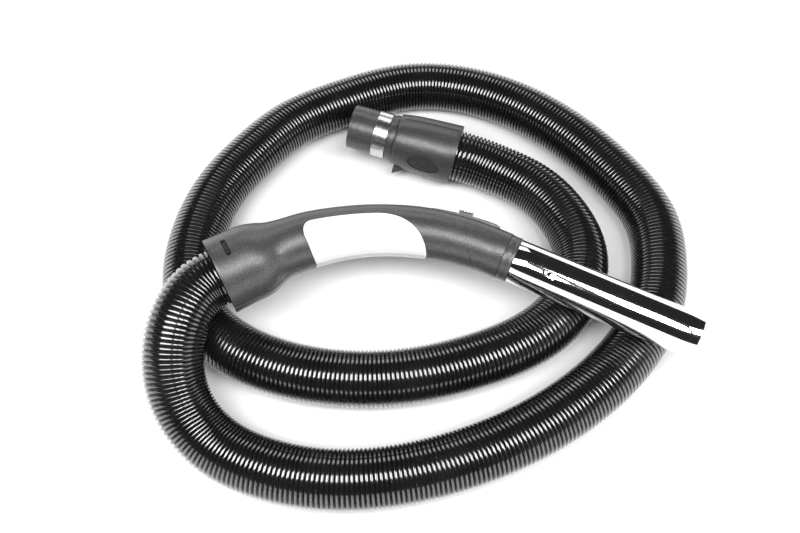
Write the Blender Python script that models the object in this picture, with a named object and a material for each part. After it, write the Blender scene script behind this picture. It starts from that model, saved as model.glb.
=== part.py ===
"""Hose set of a canister vacuum cleaner, lying on a flat surface.

A ribbed suction hose joins a swivelling machine connector to a bent handle that carries a chrome tube.
Units are metres and +Z is up.  The origin is the top of the chrome tube's open end rim, at mid wall,
and +X points out of that end.
"""

import math

import bmesh
import bpy
import numpy as np
from mathutils import Matrix, Vector

MM = 0.001

# Fits
GAP = 0.3 * MM            # between neighbouring pieces
SEAM = 0.15 * MM          # from the parting plane to each half of a split moulding

# Chrome tube and the sleeve that plugs into it
TUBE_R = 17.5 * MM
TUBE_WALL = 1.0 * MM
TUBE_LENGTH = 145.0 * MM
SLEEVE_WALL = 2.2 * MM
SLEEVE_NOSE = 45.0 * MM
SLEEVE_COLLAR_RISE = 0.6 * MM
SLEEVE_COLLAR = 8.2 * MM
SLEEVE_REAR = 11.0 * MM
SLEEVE_PLAY = 0.2 * MM
SLEEVE_END_ROOM = 1.0 * MM
SHELL_RISE = 0.5 * MM
PIN_FROM_REAR = 31.4 * MM  # from the end of the tube inside the sleeve's collar
PIN_TURN = math.radians(60.5)
PIN_SHANK_R = 1.4 * MM
PIN_HEAD_R = 2.0 * MM
PIN_SHOULDER = 0.4 * MM
PIN_PROUD = 0.1 * MM

# Hose
HOSE_R = 22.5 * MM
HOSE_IN_HANDLE = 24.0 * MM
HOSE_STEP = 24.0 * MM
HOSE_LEAD = 4.0 * MM      # straight run just outside each fitting
TUBE_CROSSING_X = -35.0 * MM

# Bent handle, measured along its centreline from the end of the chrome tube
REST_TILT = math.radians(1.0)
BEND_R = 200.0 * MM
BEND_START = 15.0 * MM
BEND_SWEEP = math.radians(55.0)
MOUTH_STRAIGHT = 35.0 * MM
HANDLE_WALL = 3.4 * MM
SOCKET_WALL = 3.1 * MM
SOCKET_DEPTH = 30.0 * MM
GRIP_PROFILE = (          # centreline distance, share of the way from the tube end's radius to the mouth's
    (8.8, 0.0), (24.0, 0.013), (39.0, 0.056), (53.0, 0.077), (71.6, 0.154), (105.0, 0.184),
    (142.0, 0.252), (168.0, 0.350), (184.0, 0.355), (195.0, 0.479), (202.0, 0.709), (211.0, 0.932),
    (226.0, 0.974), (242.0, 1.0),
)

# Pieces in the mouth of the handle, as depths below its rim
COLLAR_WALL = 1.8 * MM
RING_WALL = 2.0 * MM
RING_SPAN = (4.0 * MM, 18.0 * MM)
COLLAR_SPAN = (3.0 * MM, 26.0 * MM)
COLLAR_FLANGE = 2.0 * MM
SEAL_SPAN = (26.5 * MM, 29.5 * MM)
SEAL_BORE_R = 19.5 * MM
WINDOW_DEPTH = 12.9 * MM
WINDOW_TURN = math.radians(98.0)
WINDOW_LENGTH = 15.6 * MM
WINDOW_WIDTH = 4.0 * MM
LUG_SUNK = 1.1 * MM
OVERLAP = 1.0 * MM         # how far a joined shape reaches into its piece
CLEAR = 3.0 * MM           # how far a cutter reaches past the wall it cuts

# Grip panels
PANEL_THICK = 1.8 * MM
PANEL_TIP = 70.0 * MM
PANEL_TOP_START = 112.0 * MM
PANEL_END = 167.0 * MM
PANEL_SLANT = 5.0 * MM
PANEL_CORNER = 9.0 * MM
PANEL_CORNER_START = 0.7   # share of the reach where the corner begins
RECESS_PAST_SEAM = 0.12    # radians by which the recess runs past the parting plane
PANEL_REACH = math.radians(100.0)

# Air slider on the outer side of the bend
RAIL_SPAN = (20.0 * MM, 72.0 * MM)
RAIL_HALF_TURN = math.radians(22.0)
RAIL_EDGE = 0.5 * MM
SLOT_SPAN = (38.0 * MM, 56.0 * MM)
SLOT_WIDTH = 6.0 * MM
SLOT_CORNER = 0.45        # of the slot's width, so that its ends are nearly round
KNOB_LENGTH = 10.0 * MM
KNOB_HALF_TURN = math.radians(17.0)
KNOB_HEIGHT = 3.4 * MM
KNOB_GROOVE = 0.7 * MM
KNOB_RIDGES = 4
STEM_LENGTH = 5.0 * MM
SHUTTER_LENGTH = 22.0 * MM
SHUTTER_HALF_TURN = math.radians(24.0)
SHUTTER_THICK = 1.2 * MM
SLOT_MIDDLE = sum(SLOT_SPAN) / 2

# Machine connector, measured inwards from its open end
RUN_BESIDE_CONNECTOR = Vector((-361.0, 112.0, 0.0)) * MM
CONNECTOR_FROM_RUN = 17.68 * MM      # from that run's surface to the axis at the open end
CONNECTOR_BEARING = math.radians(-46.81)
CONNECTOR_HEADING = math.radians(-170.04)
CONNECTOR_PITCH = math.radians(4.9)
SPIGOT_R = 20.0 * MM
SPIGOT_WALL = 3.0 * MM
SPIGOT_LENGTH = 88.0 * MM
SPIGOT_REAR_DROP = 4.5 * MM   # from the hose's radius to the spigot's rear end
SPIGOT_REAR_WALL = 2.0 * MM
SPIGOT_STEP = 1.0 * MM
SPIGOT_TIP = 8.0 * MM
SPIGOT_TIP_DROP = 0.2 * MM
SPIGOT_FLANGE = 2.7 * MM
RIDGE_FROM_BAND = 3.2 * MM
RIDGE_LENGTH = 4.0 * MM
RIDGE_RISE = 0.6 * MM
BAND_SPAN = (23.3 * MM, 35.3 * MM)
BAND_THICK = 0.6 * MM
BAND_SPLIT = 2.2 * MM
BAND_TURN = math.radians(29.7)
CUFF_WALL = 1.7 * MM
CUFF_LIP = 3.0 * MM
CUFF_PLAY = 0.4 * MM
CUFF_FOOT = 0.5 * MM       # between the cuff and the surface it lies on
CUFF_SPLIT = math.radians(-75.0)
CUFF_RISE = 2.8 * MM
CUFF_REAR_RISE = 4.5 * MM
CUFF_PROFILE = (          # distance from the open end, share of the way from the front radius to the rear
    (43.0, 0.0), (50.0, 0.262), (58.0, 0.5), (70.0, 0.690), (85.0, 0.857), (99.0, 1.0),
)
HOSE_IN_CUFF = 8.7 * MM
MACHINE_COLLAR_WALL = 1.2 * MM
MACHINE_FLANGE = 2.0 * MM
MACHINE_FLANGE_RISE = 0.9 * MM
MACHINE_COLLAR_INSET = 0.5 * MM
DUCT_SEAL = 1.7 * MM
DUCT_SEAL_RISE = 2.4 * MM
DUCT_SEAL_INSET = 0.5 * MM
LUG_TURN = math.radians(-40.0)
LUG_RISE = 8.3 * MM
LUG_SPAN = (46.0 * MM, 57.0 * MM)
LUG_THICK = 3.0 * MM
LUG_ROOT = 0.4 * MM
BUTTON_ROOM = 0.9 * MM     # between the button's lip and the groove of the hose collar
BUTTON_TURN = math.radians(15.0)
BUTTON_LENGTH = 29.0 * MM
BUTTON_WIDTH = 16.0 * MM
BUTTON_SUNK = 0.5 * MM
BUTTON_BACK = 0.4 * MM
BUTTON_LIP = 1.2 * MM
BUTTON_TRAVEL = 2.0 * MM
BUTTON_STEM_R = 2.6 * MM
DIMPLE_R = 4.75 * MM
DIMPLE_DEPTH = 0.5 * MM
SPRING_R = 4.0 * MM
WIRE_R = 0.35 * MM
SPRING_TURNS = 2.5

# Resolution
ROUND = 32                # sides of a turned piece
ARC_STEP = math.radians(10.0)
STEP_RUN = 0.1 * MM       # length along which a bore changes its radius

# Heights follow from the tube resting across one lying run of the hose
TUBE_MID_R = TUBE_R - TUBE_WALL / 2
TUBE_AXIS_HEIGHT = 2 * HOSE_R + GAP + TUBE_R + TUBE_CROSSING_X * math.sin(REST_TILT)
FLOOR_Z = -(TUBE_MID_R + TUBE_AXIS_HEIGHT)

# Socket radii follow from the hose outwards
COLLAR_R = HOSE_R + GAP + COLLAR_WALL
RING_R = COLLAR_R + GAP + RING_WALL
SOCKET_R = RING_R + GAP
MOUTH_R = SOCKET_R + SOCKET_WALL
SLEEVE_BORE_R = TUBE_R - TUBE_WALL - GAP - SLEEVE_WALL
SLEEVE_COLLAR_R = TUBE_R + SLEEVE_COLLAR_RISE
GRIP_START_R = SLEEVE_COLLAR_R + SHELL_RISE
BEND_END = BEND_START + BEND_R * BEND_SWEEP
HANDLE_END = BEND_END + MOUTH_STRAIGHT
SOCKET_START = HANDLE_END - SOCKET_DEPTH
SHELL_START = GAP + SLEEVE_COLLAR + GAP
SLEEVE_REAR_R = TUBE_R - TUBE_WALL - GAP - SLEEVE_PLAY
SLEEVE_SEAT = SHELL_START - GAP + SLEEVE_REAR + SLEEVE_END_ROOM
SPIGOT_BORE_R = SPIGOT_R - SPIGOT_WALL
SPIGOT_REAR_R = HOSE_R - SPIGOT_REAR_DROP
SPIGOT_REAR_BORE_R = SPIGOT_REAR_R - SPIGOT_REAR_WALL
CUFF_FRONT_R = SPIGOT_R + CUFF_RISE
CUFF_REAR_R = HOSE_R + CUFF_REAR_RISE
CUFF_START = CUFF_PROFILE[0][0] * MM
CUFF_REAR = CUFF_PROFILE[-1][0] * MM
COLLAR_GROOVE = CUFF_REAR - HOSE_IN_CUFF - 0.7 * MM
COLLAR_GROOVE_LENGTH = MACHINE_FLANGE + 2 * GAP
MACHINE_COLLAR_R = HOSE_R + GAP + MACHINE_COLLAR_WALL
BUTTON_AT = COLLAR_GROOVE - BUTTON_ROOM - BUTTON_LIP - BUTTON_LENGTH / 2

# Route of the hose as it lies: x, y, and lift above lying flat, in hose diameters
ROUTE = (
    (-0.2220, 0.1025, 0.07), (-0.1930, 0.1045, 0.01), (-0.1600, 0.1005, 0.0),
    (-0.1270, 0.0840, 0.0), (-0.1010, 0.0560, 0.0), (-0.0920, 0.0200, 0.0),
    (-0.1035, -0.0245, 0.0), (-0.1405, -0.0715, 0.0), (-0.1906, -0.1115, 0.0),
    (-0.2320, -0.1325, 0.0), (-0.2800, -0.1460, 0.0), (-0.3270, -0.1470, 0.0),
    (-0.3630, -0.1350, 0.0), (-0.3895, -0.1060, 0.0), (-0.4055, -0.0680, 0.0),
    (-0.4120, -0.0200, 0.0), (-0.4060, 0.0230, 0.0), (-0.3910, 0.0700, 0.0),
    (-0.3610, 0.1120, 0.0), (-0.3120, 0.1590, 0.0), (-0.2470, 0.1815, 0.0),
    (-0.1610, 0.1730, 0.0), (-0.0930, 0.1425, 0.0), (-0.0560, 0.1130, 0.0),
    (-0.0380, 0.0770, 0.0), (-0.0295, 0.0380, 0.0), (-0.0350, -0.0120, 0.0),
    (-0.0580, -0.0680, 0.0), (-0.1000, -0.1270, 0.0), (-0.1470, -0.1710, 0.0),
    (-0.1970, -0.2020, 0.0), (-0.2490, -0.2180, 0.0), (-0.2980, -0.2180, 0.08),
    (-0.3300, -0.2025, 0.40), (-0.3470, -0.1775, 0.78), (-0.3530, -0.1510, 0.99),
)


def clear_scene():
    for item in list(bpy.data.objects):
        bpy.data.objects.remove(item)


def material(name, colour, roughness, metallic=0.0):
    made = bpy.data.materials.new(name)
    made.use_nodes = True
    shader = made.node_tree.nodes["Principled BSDF"]
    shader.inputs["Base Color"].default_value = (*colour, 1.0)
    shader.inputs["Roughness"].default_value = roughness
    shader.inputs["Metallic"].default_value = metallic
    return made


def add_object(name, mesh, finish):
    made = bpy.data.objects.new(name, mesh)
    bpy.context.scene.collection.objects.link(made)
    if finish:
        mesh.materials.append(finish)
    return made


def mesh_object(name, bm, finish=None):
    """Turns a bmesh into a named object with outward faces and smooth shading off its sharp edges."""
    bmesh.ops.recalc_face_normals(bm, faces=bm.faces[:])
    mesh = bpy.data.meshes.new(name)
    bm.to_mesh(mesh)
    bm.free()
    mesh.shade_smooth()
    mesh.set_sharp_from_angle(angle=math.radians(35.0))
    return add_object(name, mesh, finish)


def as_cutter(shape):
    shape.hide_render = True
    shape.display_type = "WIRE"
    return shape


def boolean(target, other, operation="DIFFERENCE"):
    """Cuts, joins or trims the target with a guide shape that isn't part of the model itself."""
    modifier = target.modifiers.new(other.name, "BOOLEAN")
    modifier.operation = operation
    modifier.object = as_cutter(other)
    modifier.solver = "EXACT"


def smooth_profile(profile, distance, start_r, end_r):
    """Radius at a distance along a profile, on a curve that never overshoots the stated points."""
    xs = np.array([point[0] for point in profile]) * MM
    ys = np.array([start_r + share * (end_r - start_r) for _, share in profile])
    slopes = np.diff(ys) / np.diff(xs)
    tangents = np.concatenate([slopes[:1], (slopes[:-1] + slopes[1:]) / 2, slopes[-1:]])
    k = int(np.clip(np.searchsorted(xs, distance, side="right") - 1, 0, len(xs) - 2))
    step = xs[k + 1] - xs[k]
    u = min(1.0, max(0.0, (distance - xs[k]) / step))
    start = (2 * u**3 - 3 * u**2 + 1) * ys[k] + (u**3 - 2 * u**2 + u) * step * tangents[k]
    end = (3 * u**2 - 2 * u**3) * ys[k + 1] + (u**3 - u**2) * step * tangents[k + 1]
    return float(start + end)


# ---------------------------------------------------------------- frames of the two rigid fittings

HANDLE_FRAME = Matrix.Rotation(REST_TILT, 4, "Y")


def handle_frame(s):
    """Frame at a distance along the handle: X towards the hose, Y to the inside of the bend, Z up."""
    turn = min(BEND_SWEEP, max(0.0, (s - BEND_START) / BEND_R))
    centre = Vector((-TUBE_LENGTH - BEND_START - BEND_R * math.sin(turn),
                     -BEND_R * (1 - math.cos(turn)), -TUBE_MID_R))
    along = Vector((-math.cos(turn), -math.sin(turn), 0.0))
    inside = Vector((math.sin(turn), -math.cos(turn), 0.0))
    straight = s - BEND_START if s < BEND_START else max(0.0, s - BEND_END)
    local = Matrix((along, inside, Vector((0, 0, 1)))).transposed().to_4x4()
    return HANDLE_FRAME @ Matrix.Translation(centre + along * straight) @ local


def on_handle(s, turn, radius):
    """Point at a radius from the handle's centreline; turn 0 is the inner side, a quarter turn is up."""
    return handle_frame(s) @ Vector((0, radius * math.cos(turn), radius * math.sin(turn)))


MOUTH_FRAME = handle_frame(HANDLE_END)
MOUTH = MOUTH_FRAME.translation
MOUTH_OUT = MOUTH_FRAME.to_3x3() @ Vector((1, 0, 0))

CONNECTOR_OUT = Vector((
    math.cos(CONNECTOR_HEADING) * math.cos(CONNECTOR_PITCH),
    math.sin(CONNECTOR_HEADING) * math.cos(CONNECTOR_PITCH),
    math.sin(CONNECTOR_PITCH),
))
CONNECTOR_SIDE = Vector((-math.sin(CONNECTOR_HEADING), math.cos(CONNECTOR_HEADING), 0.0))
CONNECTOR_HEIGHT = CUFF_REAR_R + CUFF_REAR * math.sin(CONNECTOR_PITCH) + CUFF_FOOT
RUN_TO_CONNECTOR = (HOSE_R + CONNECTOR_FROM_RUN) * Vector((
    math.cos(CONNECTOR_BEARING), math.sin(CONNECTOR_BEARING), 0.0))
SPIGOT_END = RUN_BESIDE_CONNECTOR + RUN_TO_CONNECTOR + Vector((0, 0, FLOOR_Z + CONNECTOR_HEIGHT))
CONNECTOR_FRAME = Matrix.Translation(SPIGOT_END) @ Matrix(
    (-CONNECTOR_OUT, CONNECTOR_SIDE, CONNECTOR_OUT.cross(CONNECTOR_SIDE))
).transposed().to_4x4()


def on_connector(a, turn, radius):
    """Point at a radius from the connector's axis; turn 0 is the near side, a quarter turn is up."""
    return CONNECTOR_FRAME @ Vector((a, radius * math.cos(turn), radius * math.sin(turn)))


# ---------------------------------------------------------------- shape helpers

def steps(start, end, largest):
    """Evenly spaced values from start to end, no further apart than the largest step."""
    return [float(v) for v in np.linspace(start, end, 1 + math.ceil(abs(end - start) / largest))]


def turned(name, profile, frame, finish):
    """A ring turned about a frame's X axis from a closed outline of distances and radii."""
    bm = bmesh.new()
    points = [bm.verts.new((along, 0, radius)) for along, radius in profile]
    edges = [bm.edges.new((points[i], points[i - 1])) for i in range(len(points))]
    bmesh.ops.spin(bm, geom=points + edges, cent=(0, 0, 0), axis=(1, 0, 0),
                   angle=2 * math.pi, steps=ROUND, use_merge=True)
    bmesh.ops.transform(bm, matrix=frame, verts=bm.verts[:])
    return mesh_object(name, bm, finish)


def plate(name, rows, columns, inner, outer, place, finish=None):
    """A curved plate: a flat grid is extruded once, then each point is laid on the piece's surface.

    rows are angles, columns(angle) gives the same number of distances for every row, and inner and
    outer give a radius at a distance.
    """
    across = len(columns(rows[0])) - 1
    bm = bmesh.new()
    bmesh.ops.create_grid(bm, x_segments=across, y_segments=len(rows) - 1, size=0.5)
    lifted = bmesh.ops.extrude_face_region(bm, geom=bm.faces[:], use_keep_orig=True)["geom"]
    top = {v for v in lifted if isinstance(v, bmesh.types.BMVert)}
    for v in bm.verts:
        turn = rows[round((v.co.y + 0.5) * (len(rows) - 1))]
        distance = columns(turn)[round((v.co.x + 0.5) * across)]
        radius = outer(distance) if v in top else inner(distance)
        v.co = place(distance, turn, radius)
    return mesh_object(name, bm, finish)


def standing_frame(place, at, turn):
    """Frame on the axis of the handle or the connector: X along it and Z outwards at the given angle."""
    middle = place(at, turn, 0.0)
    up = (place(at, turn, 1.0) - middle).normalized()
    along = (place(at + MM, turn, 0.0) - middle).normalized()
    return Matrix.Translation(middle) @ Matrix((along, up.cross(along), up)).transposed().to_4x4()


def stood_up(name, bm, low, high, frame):
    """Lifts an upright shape to its two radii and stands it in its frame."""
    bmesh.ops.translate(bm, vec=(0, 0, (high + low) / 2), verts=bm.verts[:])
    bmesh.ops.transform(bm, matrix=frame, verts=bm.verts[:])
    return mesh_object(name, bm)


def rounded_bar(name, length, width, low, high, corner, frame):
    """An upright bar with rounded ends, standing on a radius of the handle or the connector."""
    bm = bmesh.new()
    bmesh.ops.create_cube(bm, size=1.0)
    bmesh.ops.scale(bm, vec=(length, width, high - low), verts=bm.verts[:])
    uprights = [e for e in bm.edges if abs(e.verts[0].co.z - e.verts[1].co.z) > (high - low) / 2]
    if corner:
        bmesh.ops.bevel(bm, geom=uprights, offset=corner, segments=3, profile=0.5,
                        affect="EDGES", material=-1)
    return stood_up(name, bm, low, high, frame)


def peg(name, radii, low, high, frame, sides=24):
    """A round or oval peg standing on the handle or the connector, from one radius to another."""
    bm = bmesh.new()
    bmesh.ops.create_cone(bm, cap_ends=True, segments=sides, radius1=1.0, radius2=1.0, depth=high - low)
    half_side = Matrix.Rotation(math.pi / sides, 3, "Z")
    bmesh.ops.rotate(bm, cent=(0, 0, 0), matrix=half_side, verts=bm.verts[:])
    bmesh.ops.scale(bm, vec=(radii[0], radii[1], 1.0), verts=bm.verts[:])
    return stood_up(name, bm, low, high, frame)


# ---------------------------------------------------------------- hose

def smooth_curve(points, start_tangent, end_tangent, spacing):
    """Points at an even spacing on the smooth curve through the given points, clamped at both ends."""
    p = np.array(points, float)
    h = np.linalg.norm(np.diff(p, axis=0), axis=1)
    count = len(p)
    matrix = np.eye(count)
    right = np.zeros_like(p)
    right[0], right[-1] = start_tangent, end_tangent
    for i in range(1, count - 1):
        matrix[i, i - 1:i + 2] = 1 / h[i - 1], 2 / h[i - 1] + 2 / h[i], 1 / h[i]
        right[i] = 3 * ((p[i] - p[i - 1]) / h[i - 1] ** 2 + (p[i + 1] - p[i]) / h[i] ** 2)
    tangent = np.linalg.solve(matrix, right)
    fine = []
    for i in range(count - 1):
        for u in np.linspace(0, 1, 40, endpoint=i == count - 2):
            fine.append((2 * u**3 - 3 * u**2 + 1) * p[i] + (u**3 - 2 * u**2 + u) * h[i] * tangent[i]
                        + (3 * u**2 - 2 * u**3) * p[i + 1] + (u**3 - u**2) * h[i] * tangent[i + 1])
    fine = np.array(fine)
    lengths = np.concatenate([[0], np.cumsum(np.linalg.norm(np.diff(fine, axis=0), axis=1))])
    even = np.linspace(0, lengths[-1], 1 + math.ceil(lengths[-1] / spacing))
    return np.stack([np.interp(even, lengths, fine[:, i]) for i in range(3)], axis=1)


def hose_points():
    """The hose's centreline: straight inside both fittings and one smooth curve between them."""
    lying = [(x, y, FLOOR_Z + 2 * HOSE_R * (0.5 + lift)) for x, y, lift in ROUTE]
    start = on_connector(CUFF_REAR - HOSE_IN_CUFF, 0.0, 0.0)
    leaving = on_connector(CUFF_REAR + HOSE_LEAD, 0.0, 0.0)
    arriving = MOUTH + MOUTH_OUT * HOSE_LEAD
    end = MOUTH - MOUTH_OUT * HOSE_IN_HANDLE
    free = smooth_curve([leaving, *lying, arriving], -CONNECTOR_OUT, -MOUTH_OUT, HOSE_STEP)
    return [start, *free, end]


def make_hose(finish):
    points = hose_points()
    curve = bpy.data.curves.new("hose", "CURVE")
    curve.dimensions = "3D"
    curve.bevel_depth = HOSE_R
    curve.bevel_resolution = 4
    curve.render_resolution_u = 0
    curve.use_fill_caps = True
    spline = curve.splines.new("POLY")
    spline.points.add(len(points) - 1)
    for place, point in zip(spline.points, points):
        place.co = (*point, 1.0)
    add_object("hose", curve, finish)


def make_hose_ends(finish):
    """Moulded collars that are fixed on the hose's two ends."""
    flange_r = SOCKET_R - 2 * GAP
    start, end = (-depth for depth in COLLAR_SPAN)
    turned("hose_collar_handle", [
        (start, HOSE_R + GAP), (start, COLLAR_R), (end + COLLAR_FLANGE, COLLAR_R),
        (end + COLLAR_FLANGE, flange_r), (end, flange_r), (end, HOSE_R + GAP),
    ], MOUTH_FRAME, finish)
    start = COLLAR_GROOVE + GAP
    flange_r = MACHINE_COLLAR_R + MACHINE_FLANGE_RISE
    end = CUFF_REAR - MACHINE_COLLAR_INSET
    turned("hose_collar_machine", [
        (start, HOSE_R + GAP), (start, flange_r), (start + MACHINE_FLANGE, flange_r),
        (start + MACHINE_FLANGE, MACHINE_COLLAR_R), (end, MACHINE_COLLAR_R), (end, HOSE_R + GAP),
    ], CONNECTOR_FRAME, finish)


# ---------------------------------------------------------------- handle

def handle_outer(s):
    return smooth_profile(GRIP_PROFILE, s, GRIP_START_R, MOUTH_R)


def handle_inner(s):
    if s <= SLEEVE_SEAT:
        return SLEEVE_REAR_R + GAP
    if s >= SOCKET_START:
        return SOCKET_R
    return handle_outer(s) - HANDLE_WALL


def shell_stations():
    plain = steps(SLEEVE_SEAT + GAP, SOCKET_START - GAP, 13 * MM)
    return [SHELL_START, SLEEVE_SEAT, *plain, SOCKET_START, HANDLE_END]


def on_half(side):
    """Places on one half of the handle, which is clear of the parting plane by the seam."""
    lift = HANDLE_FRAME.to_3x3() @ Vector((0, 0, side * SEAM))
    return lambda s, turn, radius: on_handle(s, turn, radius) + lift


def panel_reach(margin):
    return PANEL_REACH + margin / handle_outer(PANEL_TOP_START)


def panel_columns(margin):
    """Both ends of a panel at an angle: a half ellipse at the tube end, a rounded corner at the other."""
    def columns(turn):
        share = min(1.0, max(0.0, abs(turn)) / panel_reach(margin))
        tip = PANEL_TOP_START - (PANEL_TOP_START - PANEL_TIP) * math.sqrt(1 - share**2) - margin
        rounding = min(1.0, max(0.0, share - PANEL_CORNER_START) / (1 - PANEL_CORNER_START))
        corner = PANEL_CORNER * (1 - math.sqrt(1 - rounding**2))
        end = PANEL_END + PANEL_SLANT * share - corner + margin
        return [float(v) for v in np.linspace(tip, end, 9)]
    return columns


def grip_panel(name, side, finish, top, thick, margin=0.0, start=0.0):
    """A curved insert whose rows lie closer together towards its far edge, where its ends curve most."""
    rows = [start] + [panel_reach(margin) * math.sin(math.radians(k * 10.0)) for k in range(1, 10)]
    return plate(name, [side * v for v in rows], panel_columns(margin),
                 lambda s: handle_outer(s) + top - thick, lambda s: handle_outer(s) + top,
                 on_half(side), finish)


def make_shell(name, side, finish):
    """Half of the handle moulding; side is +1 above the parting plane and -1 below it."""
    shell = plate(name, steps(0.0, side * math.pi, ARC_STEP), lambda turn: shell_stations(),
                  handle_inner, handle_outer, on_half(side), finish)
    depth = PANEL_THICK + GAP
    boolean(shell, grip_panel(name + "_recess", side, None, CLEAR, CLEAR + depth, GAP, -RECESS_PAST_SEAM))
    turn = WINDOW_TURN if side > 0 else WINDOW_TURN + math.pi
    window_frame = standing_frame(on_handle, HANDLE_END - WINDOW_DEPTH, turn)
    boolean(shell, rounded_bar(name + "_window", WINDOW_WIDTH, WINDOW_LENGTH, SOCKET_R - CLEAR,
                               MOUTH_R + CLEAR, SLOT_CORNER * WINDOW_WIDTH, window_frame))
    boolean(shell, slider_slot(name + "_slot"))


def slider_slot(name):
    reach = handle_outer(SLOT_SPAN[1]) + RAIL_EDGE + 2 * CLEAR
    return rounded_bar(name, SLOT_SPAN[1] - SLOT_SPAN[0], SLOT_WIDTH, SLEEVE_BORE_R - CLEAR, reach,
                       SLOT_CORNER * SLOT_WIDTH, standing_frame(on_handle, SLOT_MIDDLE, math.pi))


def make_socket_pieces(plastic, seal):
    """The snap ring that holds the hose end in the mouth, and the seal that it turns against."""
    front, rear = (-depth for depth in RING_SPAN)
    bore = COLLAR_R + GAP
    ring = turned("swivel_ring", [(front, bore), (front, RING_R), (rear, RING_R), (rear, bore)],
                  MOUTH_FRAME, plastic)
    half_width = WINDOW_WIDTH / 2 - GAP
    half_turn = (WINDOW_LENGTH / 2 - GAP - 0.35 * WINDOW_WIDTH) / MOUTH_R
    at = HANDLE_END - WINDOW_DEPTH
    for count, turn in enumerate((WINDOW_TURN, WINDOW_TURN + math.pi)):
        lug = plate(f"ring_lug_{count}", steps(turn - half_turn, turn + half_turn, ARC_STEP),
                    lambda angle: [at - half_width, at + half_width],
                    lambda s: RING_R - OVERLAP, lambda s: MOUTH_R - LUG_SUNK, on_handle)
        boolean(ring, lug, "UNION")
    front, rear = (-depth for depth in SEAL_SPAN)
    turned("socket_seal", [(front, SEAL_BORE_R), (front, RING_R), (rear, RING_R), (rear, SEAL_BORE_R)],
           MOUTH_FRAME, seal)


def make_tube(chrome, plastic, steel):
    """The chrome tube, the sleeve that joins it to the handle, and the pin that locks them."""
    bore = TUBE_R - TUBE_WALL
    axis = HANDLE_FRAME @ Matrix.Translation((0, 0, -TUBE_MID_R))
    tube = turned("chrome_tube", [
        (0, bore), (0, TUBE_R), (-TUBE_LENGTH, TUBE_R), (-TUBE_LENGTH, bore),
    ], axis, chrome)
    pin_frame = standing_frame(on_handle, -PIN_FROM_REAR, PIN_TURN)
    boolean(tube, peg("tube_hole", (PIN_HEAD_R + GAP,) * 2, bore - CLEAR, TUBE_R + CLEAR, pin_frame))
    nose = -TUBE_LENGTH + SLEEVE_NOSE
    collar = -TUBE_LENGTH - GAP
    rear = collar - SLEEVE_COLLAR
    tail = rear - SLEEVE_REAR
    nose_r = bore - GAP
    sleeve = turned("tube_spigot", [
        (nose, SLEEVE_BORE_R), (nose, nose_r), (collar, nose_r), (collar, SLEEVE_COLLAR_R),
        (rear, SLEEVE_COLLAR_R), (rear, SLEEVE_REAR_R), (tail, SLEEVE_REAR_R), (tail, SLEEVE_BORE_R),
    ], axis, plastic)
    boolean(sleeve, peg("sleeve_hole", (PIN_SHANK_R + GAP,) * 2, SLEEVE_BORE_R - CLEAR, bore + CLEAR,
                        pin_frame))
    shoulder = nose_r + PIN_SHOULDER
    pin = peg("tube_lock_pin", (PIN_SHANK_R,) * 2, SLEEVE_BORE_R - OVERLAP, shoulder + PIN_SHOULDER / 2,
              pin_frame, 16)
    pin.data.materials.append(steel)
    head = peg("pin_head", (PIN_HEAD_R,) * 2, shoulder, TUBE_R + PIN_PROUD, pin_frame, 16)
    boolean(pin, head, "UNION")


def make_slider(plastic, rubber):
    """The air slider: a fixed rail with a slot, a knob that runs on it, and the shutter inside the handle."""
    def around(half_turn, step=ARC_STEP):
        return steps(math.pi - half_turn, math.pi + half_turn, step)

    top_r = handle_outer(RAIL_SPAN[1]) + GAP + RAIL_EDGE
    foot = RAIL_SPAN[0] - 3 * MM

    def rail_top(s):
        return min(top_r, handle_outer(s) + GAP + (s - foot) / 3)

    rail = plate("slider_rail", around(RAIL_HALF_TURN), lambda turn: steps(*RAIL_SPAN, 6.5 * MM),
                 lambda s: handle_outer(s) + GAP, rail_top, on_handle, plastic)
    boolean(rail, slider_slot("rail_slot"))
    pitch = KNOB_LENGTH / (2 * KNOB_RIDGES)

    def knob_top(s):
        ridge = round((s - SLOT_MIDDLE) / pitch) % 2
        return top_r + GAP + KNOB_HEIGHT - (KNOB_GROOVE if ridge else 0.0)

    knob_ends = (SLOT_MIDDLE - KNOB_LENGTH / 2, SLOT_MIDDLE + KNOB_LENGTH / 2)
    knob = plate("slider_knob", around(KNOB_HALF_TURN), lambda turn: steps(*knob_ends, pitch * 1.01),
                 lambda s: top_r + GAP, knob_top, on_handle, plastic)
    shutter_r = handle_inner(SLEEVE_SEAT + GAP) - GAP
    stem_width = SLOT_WIDTH - 2 * GAP
    boolean(knob, rounded_bar("knob_stem", STEM_LENGTH, stem_width, shutter_r + GAP, top_r + OVERLAP,
                              SLOT_CORNER * stem_width, standing_frame(on_handle, SLOT_MIDDLE, math.pi)),
            "UNION")
    shutter_ends = (SLOT_MIDDLE - SHUTTER_LENGTH / 2, SLOT_MIDDLE + SHUTTER_LENGTH / 2)
    plate("slider_shutter", around(SHUTTER_HALF_TURN, math.radians(8.0)),
          lambda turn: steps(*shutter_ends, 6 * MM),
          lambda s: shutter_r - SHUTTER_THICK, lambda s: shutter_r, on_handle, rubber)


# ---------------------------------------------------------------- machine connector

def cuff_outer(a):
    return smooth_profile(CUFF_PROFILE, a, CUFF_FRONT_R, CUFF_REAR_R)


def cuff_inner(a):
    if a <= CUFF_START + CUFF_LIP:
        return SPIGOT_R + CUFF_PLAY
    if a < COLLAR_GROOVE:
        return cuff_outer(a) - CUFF_WALL
    if a <= COLLAR_GROOVE + COLLAR_GROOVE_LENGTH:
        return MACHINE_COLLAR_R + GAP + MACHINE_FLANGE_RISE
    return MACHINE_COLLAR_R + GAP


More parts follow.
